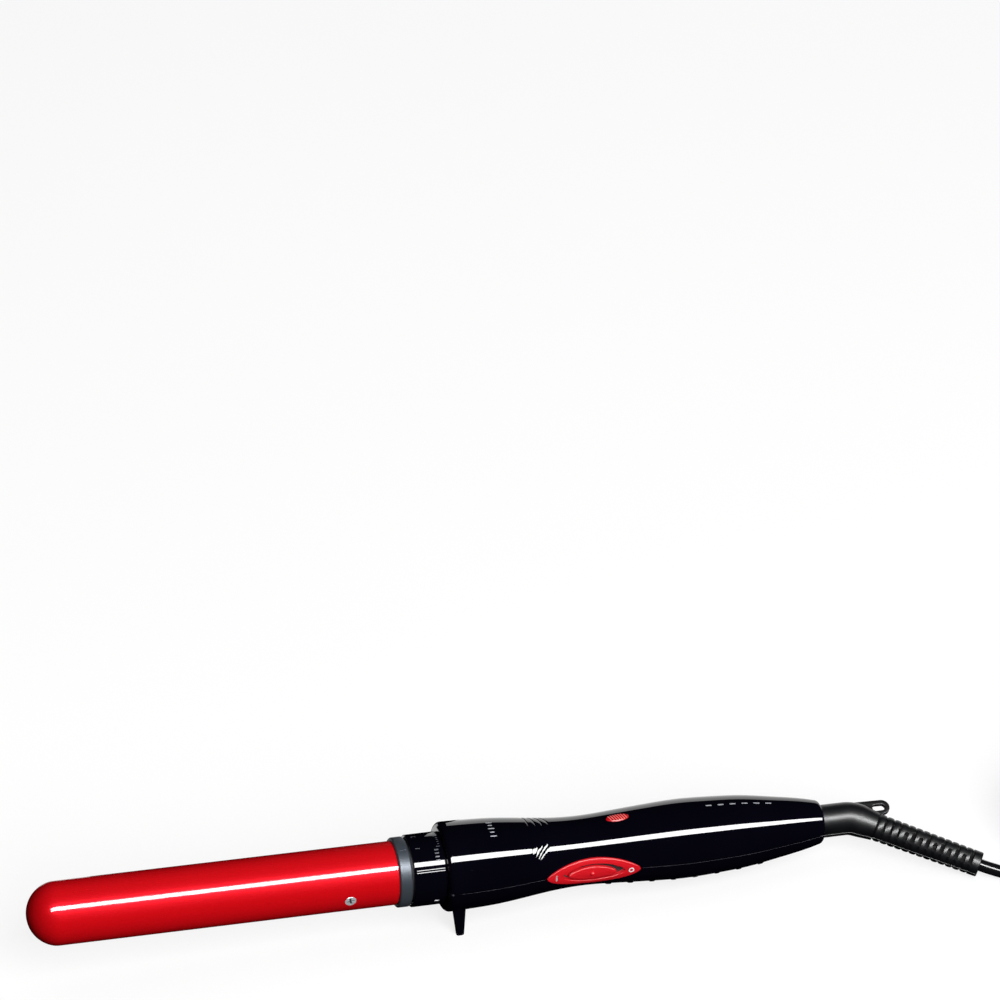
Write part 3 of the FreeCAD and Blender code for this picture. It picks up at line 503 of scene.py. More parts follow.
def coil_points():
    """Turns laid outside to inside, up a layer, and out again, from where the lead joins."""
    order = []
    for layer in range(COIL_LAYERS):
        columns = (1, 0) if layer % 2 == 0 else (0, 1)
        order += [(column, layer) for column in columns]
    total = len(order) * 360.0 + LEAVE_ANGLE - JOIN_ANGLE
    count = round(TURN_POINTS * total / 360)
    stretch = 1 / math.cos(math.pi / TURN_POINTS) ** 0.5
    points = []
    for k in range(count + 1):
        turn = total * k / count
        here = min(int(turn // 360), len(order) - 1)
        after = min(here + 1, len(order) - 1)
        shift = min(max((turn - 360 * here - 300) / 60, 0), 1)
        ease = shift * shift * (3 - 2 * shift)
        radius = COIL_R[order[here][0]] * (1 - ease) + COIL_R[order[after][0]] * ease
        layer = order[here][1] * (1 - ease) + order[after][1] * ease
        angle = math.radians(JOIN_ANGLE + turn)
        points.append((COIL_CENTRE[0] + radius * stretch * math.cos(angle),
                       COIL_CENTRE[1] + radius * stretch * math.sin(angle), FIRST_LAYER + layer * LAYER))
    return points


def mains_cord():
    data = bpy.data.curves.new("mains_cord", "CURVE")
    data.dimensions = "3D"
    data.bevel_depth = CORD_R
    data.bevel_resolution = 6
    data.resolution_u = 6
    data.use_fill_caps = True
    line = data.splines.new("NURBS")
    points = LEAD + coil_points() + TAIL
    line.points.add(len(points) - 1)
    for spot, point in zip(line.points, points):
        spot.co = (*point, 1)
    line.order_u = 3
    line.use_endpoint_u = True
    data.materials.append(FINISHES["cord_black"])
    cord = added("mains_cord", data)
    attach(cord, "cord_swivel")
    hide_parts("cord_lead", "cord_coil", "cord_tail")
    return cord


# The barrel and what it plugs into

def arc(centre, radius, start, end, count):
    """Points of an arc, its angles measured from -X over +Z."""
    return [(centre[0] - radius * math.cos(math.radians(start + (end - start) * k / count)),
             centre[1] + radius * math.sin(math.radians(start + (end - start) * k / count)))
            for k in range(count + 1)]


def dome(inset):
    """The barrel's outline from its rear edge to its tip, drawn in by inset."""
    start = BARREL_TIP + DOME_DEPTH
    side = BARREL_R - SHOULDER_R
    spare = DOME_DEPTH - SHOULDER_R
    back = (side ** 2 - spare ** 2) / (2 * spare)
    meet = math.degrees(math.atan2(side, back))
    crown = DOME_DEPTH - inset + back
    shoulder = arc((start, side), SHOULDER_R - inset, 90, meet, 10)
    return shoulder + arc((start + back, 0), crown, meet, 0, 16)[1:]


def barrel_screw(side):
    """The placement of a barrel screw whose head faces +Z where it is made."""
    out = Matrix.Translation((SCREW_X, side * (BARREL_R - SCREW_SINK), 0)) @ about_x(-90 * side)
    return about_x(SCREW_TURN) @ out


def barrel_tube():
    lip = 0.25
    outside = dome(0)
    inside = dome(BARREL_WALL)
    outline = outside[::-1] + [(-90.0, BARREL_R), (BARREL_REAR - lip, BARREL_R),
                               (BARREL_REAR, BARREL_R - lip), (BARREL_REAR, BARREL_R - BARREL_WALL),
                               (-90.0, BARREL_R - BARREL_WALL)] + inside
    bm = spun(outline, closed=False, steps=160)
    for side in (-1, 1):
        hole = spun([(-4, 0), (-4, 1.25), (-SCREW_CONE, 1.25), (0.02, SCREW_HEAD_R + 0.08),
                     (2, SCREW_HEAD_R + 0.08), (2, 0)], closed=False, steps=48)
        bm = carved(bm, turned(hole, barrel_screw(side) @ about_y(-90)))
    return piece("barrel_tube", bm, "barrel_red", "wand", ["barrel"], crease=40)


def cross_screws():
    """Countersunk heads with a cross recess, a little dished, and their shanks, with dark blocks in the recesses
    as painted shade.
    """
    pair = []
    recess_shade_blocks = []
    for side in (-1, 1):
        head = spun([(-4, 0), (-4, 1.15), (-SCREW_CONE, 1.15), (-0.12, SCREW_HEAD_R - 0.05),
                     (0.0, SCREW_HEAD_R - 0.12), (0.06, SCREW_HEAD_R - 0.4), (0.12, 0.9), (0.13, 0)],
                    closed=False, steps=64)
        head = turned(head, about_y(-90))
        lie = barrel_screw(side) @ about_z(SCREW_SET)
        pair.append(turned(crossed(head, 1.55, 0.42, 0.9), lie))
        # Dark blocks sunk in each cross recess are painted shade.
        shade = [block((-x, x), (-y, y), (-0.92, -0.3)) for x, y in ((1.54, 0.41), (0.41, 1.54))]
        recess_shade_blocks.append(turned(together(*shade), lie))
    piece("screw_recess_painted_shade", together(*recess_shade_blocks), "inner_black", "wand")
    return piece("barrel_cross_screws", together(*pair), "screw_chrome", "wand",
                 ["barrel_screws"], crease=35)


def grey_ring():
    outline = eased([(BARREL_REAR - 0.02, NECK_R), (BARREL_REAR - 0.02, RING_R - 0.5),
                     (BARREL_REAR + 0.5, RING_R), (RING_REAR - 0.5, RING_R), (RING_REAR, RING_R - 0.5),
                     (RING_REAR, NECK_R)], 0.25)
    tick = block((BARREL_REAR + 1.2, RING_REAR - 1.0), (-0.3, 0.3), (RING_R - 0.4, RING_R + 0.22))
    tick = turned(softened(tick, 0.12), about_x(12))
    return piece("grey_ring", together(spun(outline), tick), "ring_grey", "wand",
                 ["insulating_ring"], crease=30)


def dial():
    """The temperature dial, with a raised rib and a tab that reaches through the neck."""
    outline = eased([(DIAL_FRONT, NECK_R), (DIAL_FRONT, DIAL_R - 0.35), (DIAL_FRONT + 0.35, DIAL_R),
                     (DIAL_REAR, DIAL_R), (DIAL_REAR, NECK_R)], 0.2)
    ribs = []
    for shift in (-0.5, 0.5):
        rib = block((DIAL_FRONT + 0.9, DIAL_REAR - 0.5), (-0.32, 0.32), (-DIAL_R - 0.4, -DIAL_R + 0.6))
        turned(softened(rib, 0.09), Matrix.Translation((0, 0, -DIAL_R)) @ about_x(-10)
               @ Matrix.Translation((0, 0, DIAL_R)))
        ribs.append(turned(rib, about_x(math.degrees(shift / DIAL_R) - DIAL_RIB_TURN)))
    tab = turned(block((-5.5, -3.5), (-0.9, 0.9), (7.6, NECK_R + 0.5)), about_x(-75))
    return piece("temperature_dial_ring", together(spun(outline), *ribs, tab), "handle_black", "dial",
                 ["temperature_dial"], crease=30)


# Prints: thin raised ink on round surfaces

def lettering(text, height):
    """Flat mesh of text, lying in XY, its middle at the origin."""
    data = bpy.data.curves.new("text", "FONT")
    data.body = text
    data.size = height / 0.7
    data.align_x = "CENTER"
    data.align_y = "CENTER"
    data.resolution_u = 3
    data.offset = -0.01
    obj = added("text", data)
    graph = bpy.context.evaluated_depsgraph_get()
    mesh = bpy.data.meshes.new_from_object(obj.evaluated_get(graph))
    bm = bmesh.new()
    bm.from_mesh(mesh)
    bpy.data.objects.remove(obj)
    bpy.data.meshes.remove(mesh)
    return bm


def printed(flat, x, turn, radius_at, thick=0.03):
    """Wraps a flat print (X along the wand, Y round it) onto a round surface at a turn from +Z over -Y."""
    bmesh.ops.triangulate(flat, faces=flat.faces)
    bmesh.ops.subdivide_edges(flat, edges=[e for e in flat.edges if e.calc_length() > 0.8], cuts=2)
    bmesh.ops.recalc_face_normals(flat, faces=flat.faces)
    for vert in flat.verts:
        radius = radius_at(x + vert.co.x) + thick
        angle = math.radians(turn) - vert.co.y / radius
        vert.co = (x + vert.co.x, -radius * math.sin(angle), radius * math.cos(angle))
    bmesh.ops.solidify(flat, geom=flat.faces, thickness=thick * 2)
    return flat


def bar(length, width, x=0.0, y=0.0):
    return flat_ring([(x + length / 2 * a, y + width / 2 * b) for a, b in CORNERS])


def flat_ring(points):
    bm = bmesh.new()
    bm.faces.new([bm.verts.new((x, y, 0)) for x, y in points])
    return bm


def dial_marks():
    """Step numbers, a fine scale at the rear edge and a small pointer near the underside."""
    def skin(_):
        return DIAL_R
    numbers = [printed(turned(lettering(str(i + 1), 1.9), about_z(90)), -11.0, 14 - 30 * i, skin)
               for i in range(6)]
    scale = []
    for i in range(31):
        long = 1.5 if i % 5 == 0 else 0.8
        scale.append(printed(bar(long, 0.22), DIAL_REAR - 1.0 - long / 2, 14 - 5 * i, skin))
    for i in range(4):
        scale.append(printed(bar(1.6, 0.55), -3.9, 20 + 6 * i, skin))
    piece("dial_numbers", together(*numbers, *scale), "handle_black", "dial", ink="print_dim")
    pointer = printed(flat_ring([(-0.9, 0.7), (-0.9, -0.7), (0.9, 0)]), -4.6, 112, skin)
    piece("dial_pointer", pointer, "handle_black", "dial", ink="print_white")


# Handle

def smooth_line(stations):
    """The natural spline through (place, radius) pairs."""
    x, r = np.array(stations).T
    gap = np.diff(x)
    bend = np.eye(len(x))
    load = np.zeros(len(x))
    for i in range(1, len(x) - 1):
        bend[i, i - 1:i + 2] = gap[i - 1], 2 * (gap[i - 1] + gap[i]), gap[i]
        load[i] = 6 * ((r[i + 1] - r[i]) / gap[i] - (r[i] - r[i - 1]) / gap[i - 1])
    m = np.linalg.solve(bend, load)

    def at(place):
        i = int(min(max(np.searchsorted(x, place) - 1, 0), len(x) - 2))
        ahead, behind, g = x[i + 1] - place, place - x[i], gap[i]
        return float((m[i] * ahead ** 3 + m[i + 1] * behind ** 3) / (6 * g)
                     + (r[i] / g - m[i] * g / 6) * ahead + (r[i + 1] / g - m[i + 1] * g / 6) * behind)
    return at


handle_r = smooth_line(STATIONS)


def handle_outline(inset=0.0, step=1.2):
    """The handle's outer line from its front face to its rear face."""
    first_x, first_r = STATIONS[0]
    last_x, last_r = STATIONS[-1]
    rim = arc((first_x, first_r - inset - RIM_R), first_x - HANDLE_FRONT, 0, 90, 8)
    count = round((last_x - first_x) / step)
    side = [first_x + (last_x - first_x) * k / count for k in range(1, count + 1)]
    tail = []
    for k in range(1, 6):
        t = k / 5
        tail.append((last_x * (1 - t) ** 2 + (HANDLE_LENGTH - 0.1) * 2 * t * (1 - t) + HANDLE_LENGTH * t * t,
                     last_r * (1 - t) ** 2 + 8.55 * 2 * t * (1 - t) + HANDLE_REAR_R * t * t - inset))
    return rim + [(x, handle_r(x) - inset) for x in side] + tail


def handle_form(inset):
    """The handle's form as one solid, drawn in by inset."""
    line = handle_outline(inset, 3.0)
    return spun([(HANDLE_FRONT, 0)] + line + [(HANDLE_LENGTH, 0)], closed=False, steps=96)


def half_shell(upper):
    """Half of the hollow handle, its seam edges eased."""
    inner = [CAVITY[1] - 3.5 * k for k in range(1, 39)]
    outline = handle_outline() + [(HANDLE_LENGTH, JOURNAL_R + 0.25), (HANDLE_LENGTH - 0.25, JOURNAL_R),
                                  (CAVITY[1], JOURNAL_R), (CAVITY[1], handle_r(CAVITY[1]) - WALL)]
    outline += [(x, handle_r(x) - WALL) for x in inner]
    outline += [(CAVITY[0], handle_r(CAVITY[0]) - WALL), (CAVITY[0], NECK_R), (HANDLE_FRONT, NECK_R)]
    bm = swept(outline, 0 if upper else 180, 180, ROUND // 2 + 16)

    def outside(vert):
        x, y = vert.co.x, abs(vert.co.y)
        skin = min(handle_r(max(x, STATIONS[0][0])) - 0.6, RIM_INSIDE_R)
        return abs(vert.co.z) < SAME and (y > skin or x > TAIL_X and y > TAIL_INSIDE_R)

    def on_seam(edge):
        return all(outside(vert) for vert in edge.verts)
    return softened(bm, SEAM_EASE, cuts=3, keep=on_seam)


def leaf(length, width, count=96, blunt=1.38):
    """A lens-shaped outline with slightly blunt tips: (along, up) pairs."""
    points = []
    for k in range(count):
        a = 2 * math.pi * (k + 0.5) / count
        rise = math.copysign(abs(math.sin(a)) ** blunt, math.sin(a))
        points.append((length / 2 * math.cos(a), width / 2 * rise))
    return points


def on_switch_side(outline, x, proud):
    """Lays an outline of (along, up) pairs on the handle's switch side, that far proud of it."""
    ring = []
    for along, up in outline:
        reach = handle_r(x + along) + proud
        ring.append((x + along, -math.sqrt(max(reach ** 2 - up ** 2, 0)), up))
    return ring


def plate_opening():
    return lofted([on_switch_side(leaf(38.8, 12.5), PLATE_X, proud) for proud in (1.5, -1.0, -3.2)])


def stand_bay(grow):
    """The space the stand folds into, and with grow the outside of its lining."""
    (front, narrow), (rear, wide) = BAY
    outline = [(front - grow, -narrow - grow), (rear + grow, -wide - grow), (rear + grow, wide + grow),
               (front - grow, narrow + grow)]
    return lofted([[(x, y, z) for x, y in eased(outline, 1.6 + grow)] for z in (-40, BAY_ROOF + grow)])


def grooved(bm):
    """Cuts four fine grooves that fan over the top from one point on each side."""
    planes = []
    for top in GROOVE_TOPS:
        run, rise = top - GROOVE_MEET.x, GROOVE_CROWN - GROOVE_MEET.z
        planes.append(Vector((rise, 0, -run)).normalized())

    def outer(vert):
        return 28 < vert.co.x < 48 and vert.co.z > 0.5 and vert.co.yz.length > handle_r(vert.co.x) - 0.3
    for normal in planes:
        for shift in (-GROOVE_HALF, 0, GROOVE_HALF):
            faces = [f for f in bm.faces if all(outer(v) for v in f.verts)]
            edges = {e for f in faces for e in f.edges}
            near = faces + list(edges) + list({v for f in faces for v in f.verts})
            bmesh.ops.bisect_plane(bm, geom=near, dist=1e-5, plane_co=GROOVE_MEET + normal * shift,
                                   plane_no=normal)
    for vert in bm.verts:
        if outer(vert) and vert.co.z > GROOVE_MEET.z:
            away = min(abs(normal.dot(vert.co - GROOVE_MEET)) for normal in planes)
            if away < GROOVE_HALF:
                fade = min((vert.co.z - GROOVE_MEET.z) / GROOVE_FADE, 1)
                depth = GROOVE_DEPTH * (1 - away / GROOVE_HALF) * fade
                share = 1 - depth / vert.co.yz.length
                vert.co.y *= share
                vert.co.z *= share
    return bm


def upper_shell():
    bm = carved(half_shell(True), plate_opening())
    return piece("handle_shell_upper", grooved(bm), "handle_black", "wand",
                 ["handle_upper_shell"], crease=28)


def grip_rib(x):
    def r(along):
        return handle_r(x + along)
    outline = [(x, r(0) - 0.5), (x + 0.05, r(0) + 0.12), (x + 0.35, r(0.35) + 0.31), (x + 0.8, r(0.8) + 0.35),
               (x + 1.6, r(1.6) + 0.35), (x + 2.05, r(2.05) + 0.31), (x + 2.35, r(RIB_WIDTH) + 0.12),
               (x + RIB_WIDTH, r(RIB_WIDTH) - 0.5)]
    half = math.degrees(math.asin(RIB_REACH / r(0)))
    return swept(outline, -90 - half, 2 * half, 28)


def lower_shell():
    """The half that holds the stand: bay and its lining, screw wells, grip ribs under the palm."""
    lining = together(stand_bay(1.2), *[post(x, 0, (-30, 0), 2.8) for x in SCREW_WELLS[1:]])
    lining = carved(lining, handle_form(0.6), "INTERSECT")
    bm = carved(half_shell(False), lining, "UNION")
    wells = [post(x, 0, (-40, WELL_TOP), WELL_R) for x in SCREW_WELLS]
    bm = carved(bm, together(stand_bay(0), plate_opening(), *wells))
    return piece("handle_shell_lower", together(bm, *[grip_rib(x) for x in RIBS]),
                 "handle_black", "wand", ["handle_lower_shell"], crease=28)


def seam_lip():
    """The tongue of one shell that shows as a fine line in the seam, broken by the switch; its grey is a painted
    highlight along the parting line.
    """
    lips = []
    for side, start, end in ((-1, 1.0, PLATE_X - 19.8), (-1, PLATE_X + 19.8, 154.0), (1, 1.0, 154.0)):
        count = round((end - start) / 1.5)
        rings = []
        for k in range(count + 1):
            x = start + (end - start) * k / count
            r = handle_r(max(x, STATIONS[0][0])) - (0.01 if x > 2.5 else 0.6)
            corners = ((0.6, -0.15), (0, -0.15), (0, 0.15), (0.6, 0.15))
            rings.append([(x, side * (r - low), z) for low, z in corners])
        lips.append(lofted(rings))
    return piece("seam_lip", together(*lips), "handle_black", "wand", ink="seam_painted_highlight")


def case_screws():
    """Three case screws, heads down in their wells."""
    screws = []
    for x in SCREW_WELLS:
        head = spun([(-18, 0), (-18, 1.25), (-2.0, 1.25), (-2.0, 2.15), (-0.35, 2.15), (0.0, 1.7), (0.05, 0)],
                    closed=False, steps=48)
        head = crossed(turned(head, about_y(-90)), 1.4, 0.3, 0.8)
        screws.append(turned(head, Matrix.Translation((x, 0, CASE_SCREW_Z)) @ about_x(180)))
    return piece("case_screws", together(*screws), "screw_steel", "wand", ["handle_screws"])


# Switch and lens

def plate():
    """The lens-shaped surround: a skirt in its opening, a soft shoulder and a recess for the knob."""
    levels = [(38.2, 12.1, -2.6), (38.2, 12.1, 0.15), (38.1, 12.0, 0.34), (37.8, 11.75, 0.46),
              (37.3, 11.35, 0.5), (32.0, 9.9, 0.5), (26.3, 8.35, 0.5), (25.9, 8.1, 0.46), (25.65, 7.95, 0.36),
              (25.55, 7.85, 0.2), (25.5, 7.8, -0.75), (25.0, 7.5, -0.9), (16.0, 4.0, -0.9), (6.0, 0.8, -0.9)]
    rings = [on_switch_side(leaf(length, width), PLATE_X, proud) for length, width, proud in levels]
    # A dark sheet laid just over the recess floor: painted shade at the knob's ends.
    floor = [on_switch_side(leaf(24.8, 7.4), PLATE_X, proud) for proud in (-1.2, -0.84)]
    piece("switch_recess_painted_shade", lofted(floor), "inner_black", "wand")
    return piece("switch_surround", lofted(rings), "switch_red", "wand", ["switch_plate"])


def knob():
    """The sliding knob: a low crowned pad with a small round nub."""
    levels = [(19.6, 6.1, -0.4), (19.6, 6.1, 0.45), (19.5, 6.0, 0.68), (19.2, 5.75, 0.82), (18.8, 5.4, 0.88),
              (14.0, 4.0, 0.92), (8.0, 2.2, 0.96), (2.0, 0.5, 0.98)]
    pad = lofted([on_switch_side(leaf(length, width, 64), KNOB_X, proud) for length, width, proud in levels])
    nub = bmesh.new()
    bmesh.ops.create_uvsphere(nub, u_segments=28, v_segments=16, radius=1.05,
                              matrix=Matrix.Translation((KNOB_X, -handle_r(KNOB_X) - 0.75, 0)))
    stem = block((KNOB_X - 1, KNOB_X + 1), (-13.4, -8.4), (-1, 1))
    return piece("sliding_knob", together(pad, nub, stem), "switch_red", "switch", ["switch_knob"])


def switch_marks():
    """The bar and the ring of an on and off switch, in white."""
    def laid(flat, x):
        bmesh.ops.triangulate(flat, faces=flat.faces)
        bmesh.ops.recalc_face_normals(flat, faces=flat.faces)
        for vert in flat.verts:
            up = vert.co.y
            reach = handle_r(x + vert.co.x) + 0.6
            vert.co = (x + vert.co.x, -math.sqrt(reach ** 2 - up ** 2), up)
        bmesh.ops.solidify(flat, geom=flat.faces, thickness=0.12)
        return flat
    on = laid(bar(0.6, 2.6), PLATE_X - MARK_OFF)
    ring = lofted([[(r * math.cos(math.pi * k / 20), r * math.sin(math.pi * k / 20), 0) for k in range(40)]
                   for r in (1.1, 0.68)], cap=False)
    off = laid(ring, PLATE_X + MARK_OFF)
    return piece("switch_marks", together(on, off), "switch_red", "wand", ink="print_white")


def lens():
    """A domed oval window with fine ribs across it."""
    levels = [(9.2, 4.0, -0.6), (9.2, 4.0, 0.12), (9.05, 3.88, 0.28), (8.7, 3.6, 0.38)]
    shares = (0.94, 0.88, 0.82, 0.75, 0.68, 0.6, 0.52, 0.44, 0.36, 0.28, 0.2, 0.12, 0.04)
    levels += [(8.7 * share, 3.6 * share, 0.38 + LENS_RISE * (1 - share * share)) for share in shares]
    rings = []
    for length, width, proud in levels:
        ring = []
        for k in range(96):
            a = 2 * math.pi * k / 96
            along, across = length / 2 * math.cos(a), width / 2 * math.sin(a)
            reach = handle_r(LENS_X + along) + proud
            ring.append((LENS_X + along, across, math.sqrt(reach ** 2 - across ** 2)))
        rings.append(ring)
    bars = []
    for i in range(-3, 4):
        half = 1.7 * math.sqrt(1 - (i / 4.2) ** 2)
        rib = softened(block((-0.11, 0.11), (-half, half), (-0.1, 0.1)), 0.05)
        bmesh.ops.subdivide_edges(rib, edges=[e for e in rib.edges if e.calc_length() > 1], cuts=6)
        for vert in rib.verts:
            along, across = i * 1.05 + vert.co.x - 0.35 * vert.co.y, vert.co.y
            inside = (along / 4.35) ** 2 + (across / 1.8) ** 2
            reach = handle_r(LENS_X + along) + 0.38 + LENS_RISE * (1 - inside) + vert.co.z + 0.06
            vert.co = (LENS_X + along, across, math.sqrt(reach ** 2 - across ** 2))
        bars.append(rib)
    # The ribs are coloured pale pink as painted glints on the red lens.
    piece("indicator_ribs", together(*bars), "lens_red", "wand", ink="rib_painted_glint")
    return piece("indicator_window", lofted(rings), "lens_red", "wand", ["indicator_lens"], crease=20)


def handle_ornament():
    """Plain silver dashes where such handles carry their print."""
    marks = []
    for i in range(5):
        marks.append(printed(bar(1.7 if i % 2 else 2.6, 0.5, y=-2.0 * (i - 2)), 19.0, 2, handle_r))
    for i in range(6):
        marks.append(printed(bar(2.4, 0.6), 108.0 + 5.0 * i, 1, handle_r))
    return piece("handle_print", together(*marks), "handle_black", "wand", ink="print_silver")


# Stand

def stand_yoke():
    """Two tapered legs on one hub, their feet cut level with the table."""
    hub = bmesh.new()
    bmesh.ops.create_cone(hub, cap_ends=True, segments=48, radius1=HUB_R, radius2=HUB_R, depth=16.4,
                          matrix=Matrix.Translation(HINGE) @ about_x(90))
    softened(hub, 0.4)
    legs = []
    back = WAND.inverted()
    table = (back @ Vector((0, 0, 0)), (back.to_3x3() @ Vector((0, 0, 1))).normalized())
    for side in (-1, 1):
        rings = []
        for share in (0.0, 0.25, 0.5, 0.75, 1.0, 1.12):
            centre = LEG_TOP.lerp(LEG_FOOT, share)
            size = [a + (b - a) * share for a, b in zip(LEG_TOP_SIZE, LEG_FOOT_SIZE)]
            corners = [(a * size[0] / 2, b * size[1] / 2) for a, b in CORNERS]
            rings.append([(centre.x + x, side * centre.y + y, centre.z) for x, y in eased(corners, 1.1, 5)])
        leg = lofted(rings)
        everything = list(leg.faces) + list(leg.edges) + list(leg.verts)
        cut = bmesh.ops.bisect_plane(leg, geom=everything, dist=1e-5, plane_co=table[0], plane_no=table[1],
                                     clear_inner=True)
        bmesh.ops.contextual_create(leg, geom=edges_in(cut["geom_cut"]))
        bmesh.ops.recalc_face_normals(leg, faces=leg.faces)
        legs.append(softened(leg, 0.35, angle=60))
    return piece("stand_yoke", together(hub, *legs), "handle_black", "stand", ["stand"])


# Cord guard

def past_bend():
    return Matrix.Translation((BEND_X, 0, 0)) @ about_y(BEND_ANGLE)


def bent_bar(radius, z, steps, front, rear, slim=1.0):
    """A round bar that follows the guard's line at a height above it, slimmed past the bend."""
    bm = bmesh.new()
    face = Matrix.Translation((front, 0, z)) @ about_y(90)
    bmesh.ops.create_circle(bm, cap_ends=False, segments=steps, radius=radius, matrix=face)
    edges = list(bm.edges)
    reach = BEND_R * math.tan(math.radians(BEND_ANGLE / 2))

    def pushed(edges, way):
        made = bmesh.ops.extrude_edge_only(bm, edges=edges)
        bmesh.ops.translate(bm, vec=way, verts=moved_verts(made))
        return edges_in(made["geom"])
    edges = pushed(edges, (BEND_X - reach - front, 0, 0))
    verts = list({v for e in edges for v in e.verts})
    made = bmesh.ops.spin(bm, geom=verts + edges, cent=(BEND_X - reach, 0, -BEND_R), axis=(0, 1, 0),
                          dvec=(0, 0, 0), angle=math.radians(BEND_ANGLE), steps=20, use_merge=False)
    edges = edges_in(made["geom_last"])
    ahead = past_bend()
    edges = pushed(edges, ahead.to_3x3() @ Vector((rear - reach, 0, 0)))
    centre = ahead @ Vector((rear, 0, 0))
    for vert in {v for e in edges for v in e.verts}:
        vert.co = centre + (vert.co - centre) * slim
    bmesh.ops.holes_fill(bm, edges=[e for e in bm.edges if e.is_boundary], sides=0)
    bmesh.ops.recalc_face_normals(bm, faces=bm.faces)
    return bm


def slot_cutter(x, half, low, high, y):
    """A long hole with round ends, cut through one side of the relief."""
    bm = bmesh.new()
    bmesh.ops.create_circle(bm, cap_ends=True, segments=20, radius=half, matrix=about_x(90))
    for vert in bm.verts:
        vert.co.z += (high - half) if vert.co.z > 0 else (low + half)
        vert.co.x += x
        vert.co.y = y[0]
    return thickened(bm, y[1] - y[0])


def strain_relief():
    """Round ribs that taper to a plain band, with pairs of ribs arched over short windows."""
    start = BEND_TO_RELIEF
    end = start + RELIEF_RIBS * RELIEF_PITCH + RELIEF_BAND
    first, last = RELIEF_R

    def crest(x):
        return first + (last - first) * (x - start) / (end - start)
    outline = [(start - 2.0, 0), (start - 2.0, 4.4), (start, crest(start) - VALLEY)]
    for i in range(RELIEF_RIBS):
        for k in range(9):
            t = k / 8
            x = start + (i + t) * RELIEF_PITCH
            outline.append((x, crest(x) - VALLEY * (1 - math.sin(math.pi * t) ** 0.35)))
    band = end - RELIEF_BAND
    outline += [(band + 0.02, crest(band) - 0.25), (band + 0.25, crest(band)), (end - 0.3, last),
                (end, last - 0.3), (end, 2.7), (end - 1.0, 2.6), (end - 1.0, 0)]
    bm = spun(outline, closed=False, steps=112)
    bmesh.ops.remove_doubles(bm, verts=bm.verts, dist=1e-3)
    cutters = []
    for i in range(4, RELIEF_RIBS, 2):
        x = start + i * RELIEF_PITCH
        arch = [(x - 1.1, 3.6), (x + 1.1, 3.6), (x + 1.1, crest(x) - 0.02), (x - 1.1, crest(x) - 0.02)]
        for begin in (164, -12):
            bm = carved(bm, swept(arch, begin, 28, 8), "UNION")
    for i in range(1, RELIEF_RIBS + 1):
        x = start + i * RELIEF_PITCH
        narrow = i <= NARROW_SLOTS
        half = 0.5 if narrow else 0.92
        low, high = (-4.3, 2.0) if i % 2 or narrow else (-4.2, -0.9)
        for side in ((-12, -3.0), (3.0, 12)):
            cutters.append(slot_cutter(x, half, low, high, side))
    return turned(carved(bm, together(*cutters)), past_bend())


def hanging_tab():
    """A flat tab that carries the pipe's outer line straight on, with a long eye."""
    x, z = EYE
    root = BEND_X - 8.0
    end = (x + 1.4, z + 0.2)
    turns = [math.radians(a) for a in range(0, 181, 10)]
    round_end = [(end[0] + TAB_END_R * math.sin(a), end[1] + TAB_END_R * math.cos(a)) for a in turns]
    outline = [(root, PIPE_R - 0.6), (BEND_X - 1.5, PIPE_R - 0.05)] + round_end + [(x - 1.0, -3), (root, -3)]
    bm = bmesh.new()
    bm.faces.new([bm.verts.new((a, -TAB_THICK / 2, b)) for a, b in outline])
    thickened(bm, TAB_THICK)
    hole = turned(slot_cutter(0, EYE_SIZE[1] / 2, -EYE_SIZE[0] / 2, EYE_SIZE[0] / 2, (-3, 3)), about_y(90))
    bm = carved(bm, turned(hole, Matrix.Translation((x, 0, z))))
    return softened(bm, 0.3, angle=50)


def cord_guard():
    rear = BEND_TO_RELIEF - 0.4
    slim = 0.86
    pipe = bent_bar(PIPE_R, 0, 96, GUARD_FRONT, rear, slim)
    seams = [bent_bar(0.2, side * (PIPE_R + 0.02), 10, GUARD_FRONT + 4, rear, slim) for side in (-1, 1)]
    rails = []
    for side in (-1, 1):
        length = RELIEF_RIBS * RELIEF_PITCH + RELIEF_BAND
        tilt = math.degrees(math.atan2(RELIEF_R[0] - RELIEF_R[1], length))
        rail = post(0, 0, (-1.4, length - 0.3), 0.24, 10)
        foot = Matrix.Translation((BEND_TO_RELIEF, 0, side * (RELIEF_R[0] - 0.08)))
        lie = foot @ about_y(90 + side * tilt)
        rails.append(turned(rail, past_bend() @ lie))
    shape = together(pipe, *seams, strain_relief(), hanging_tab(), *rails)
    return piece("cord_guard_moulding", shape, "guard_black", "cord_swivel", ["cord_guard"],
                 place=GUARD, crease=35)


# Ties and plug

def coil_ties():
    """Two flat bands round the bundle of turns."""
    low, high = COIL_R[0] / MM - 2.5, COIL_R[1] / MM + 2.5
    top = (FIRST_LAYER + (COIL_LAYERS - 1) * LAYER) / MM + 2.5
    bands = []
    for angle in TIE_ANGLES:
        rings = []
        for across in (-3.0, 3.0):
            outline = eased([(low - 0.45, 0.05), (high + 0.45, 0.05), (high + 0.45, top + 0.45),
                             (low - 0.45, top + 0.45)], 1.6, 5)
            rings.append([(r, across, z) for r, z in outline])
        band = lofted(rings, cap=False)
        bmesh.ops.solidify(band, geom=band.faces, thickness=0.45)
        clasp = softened(block((high - 8, high - 2), (-3.4, 3.4), (top + 0.3, top + 0.95)), 0.25)
        middle = Matrix.Translation((COIL_CENTRE[0] / MM, COIL_CENTRE[1] / MM, 0))
        bands.append(turned(together(band, clasp), middle @ about_z(angle)))
    return piece("coil_ties", together(*bands), "tie_black", "cord_swivel", ["cord_ties"], place=PART)


def plug_place():
    return PART @ Matrix.Translation(Vector(TAIL[-1]) / MM) @ about_z(PLUG_HEADING)


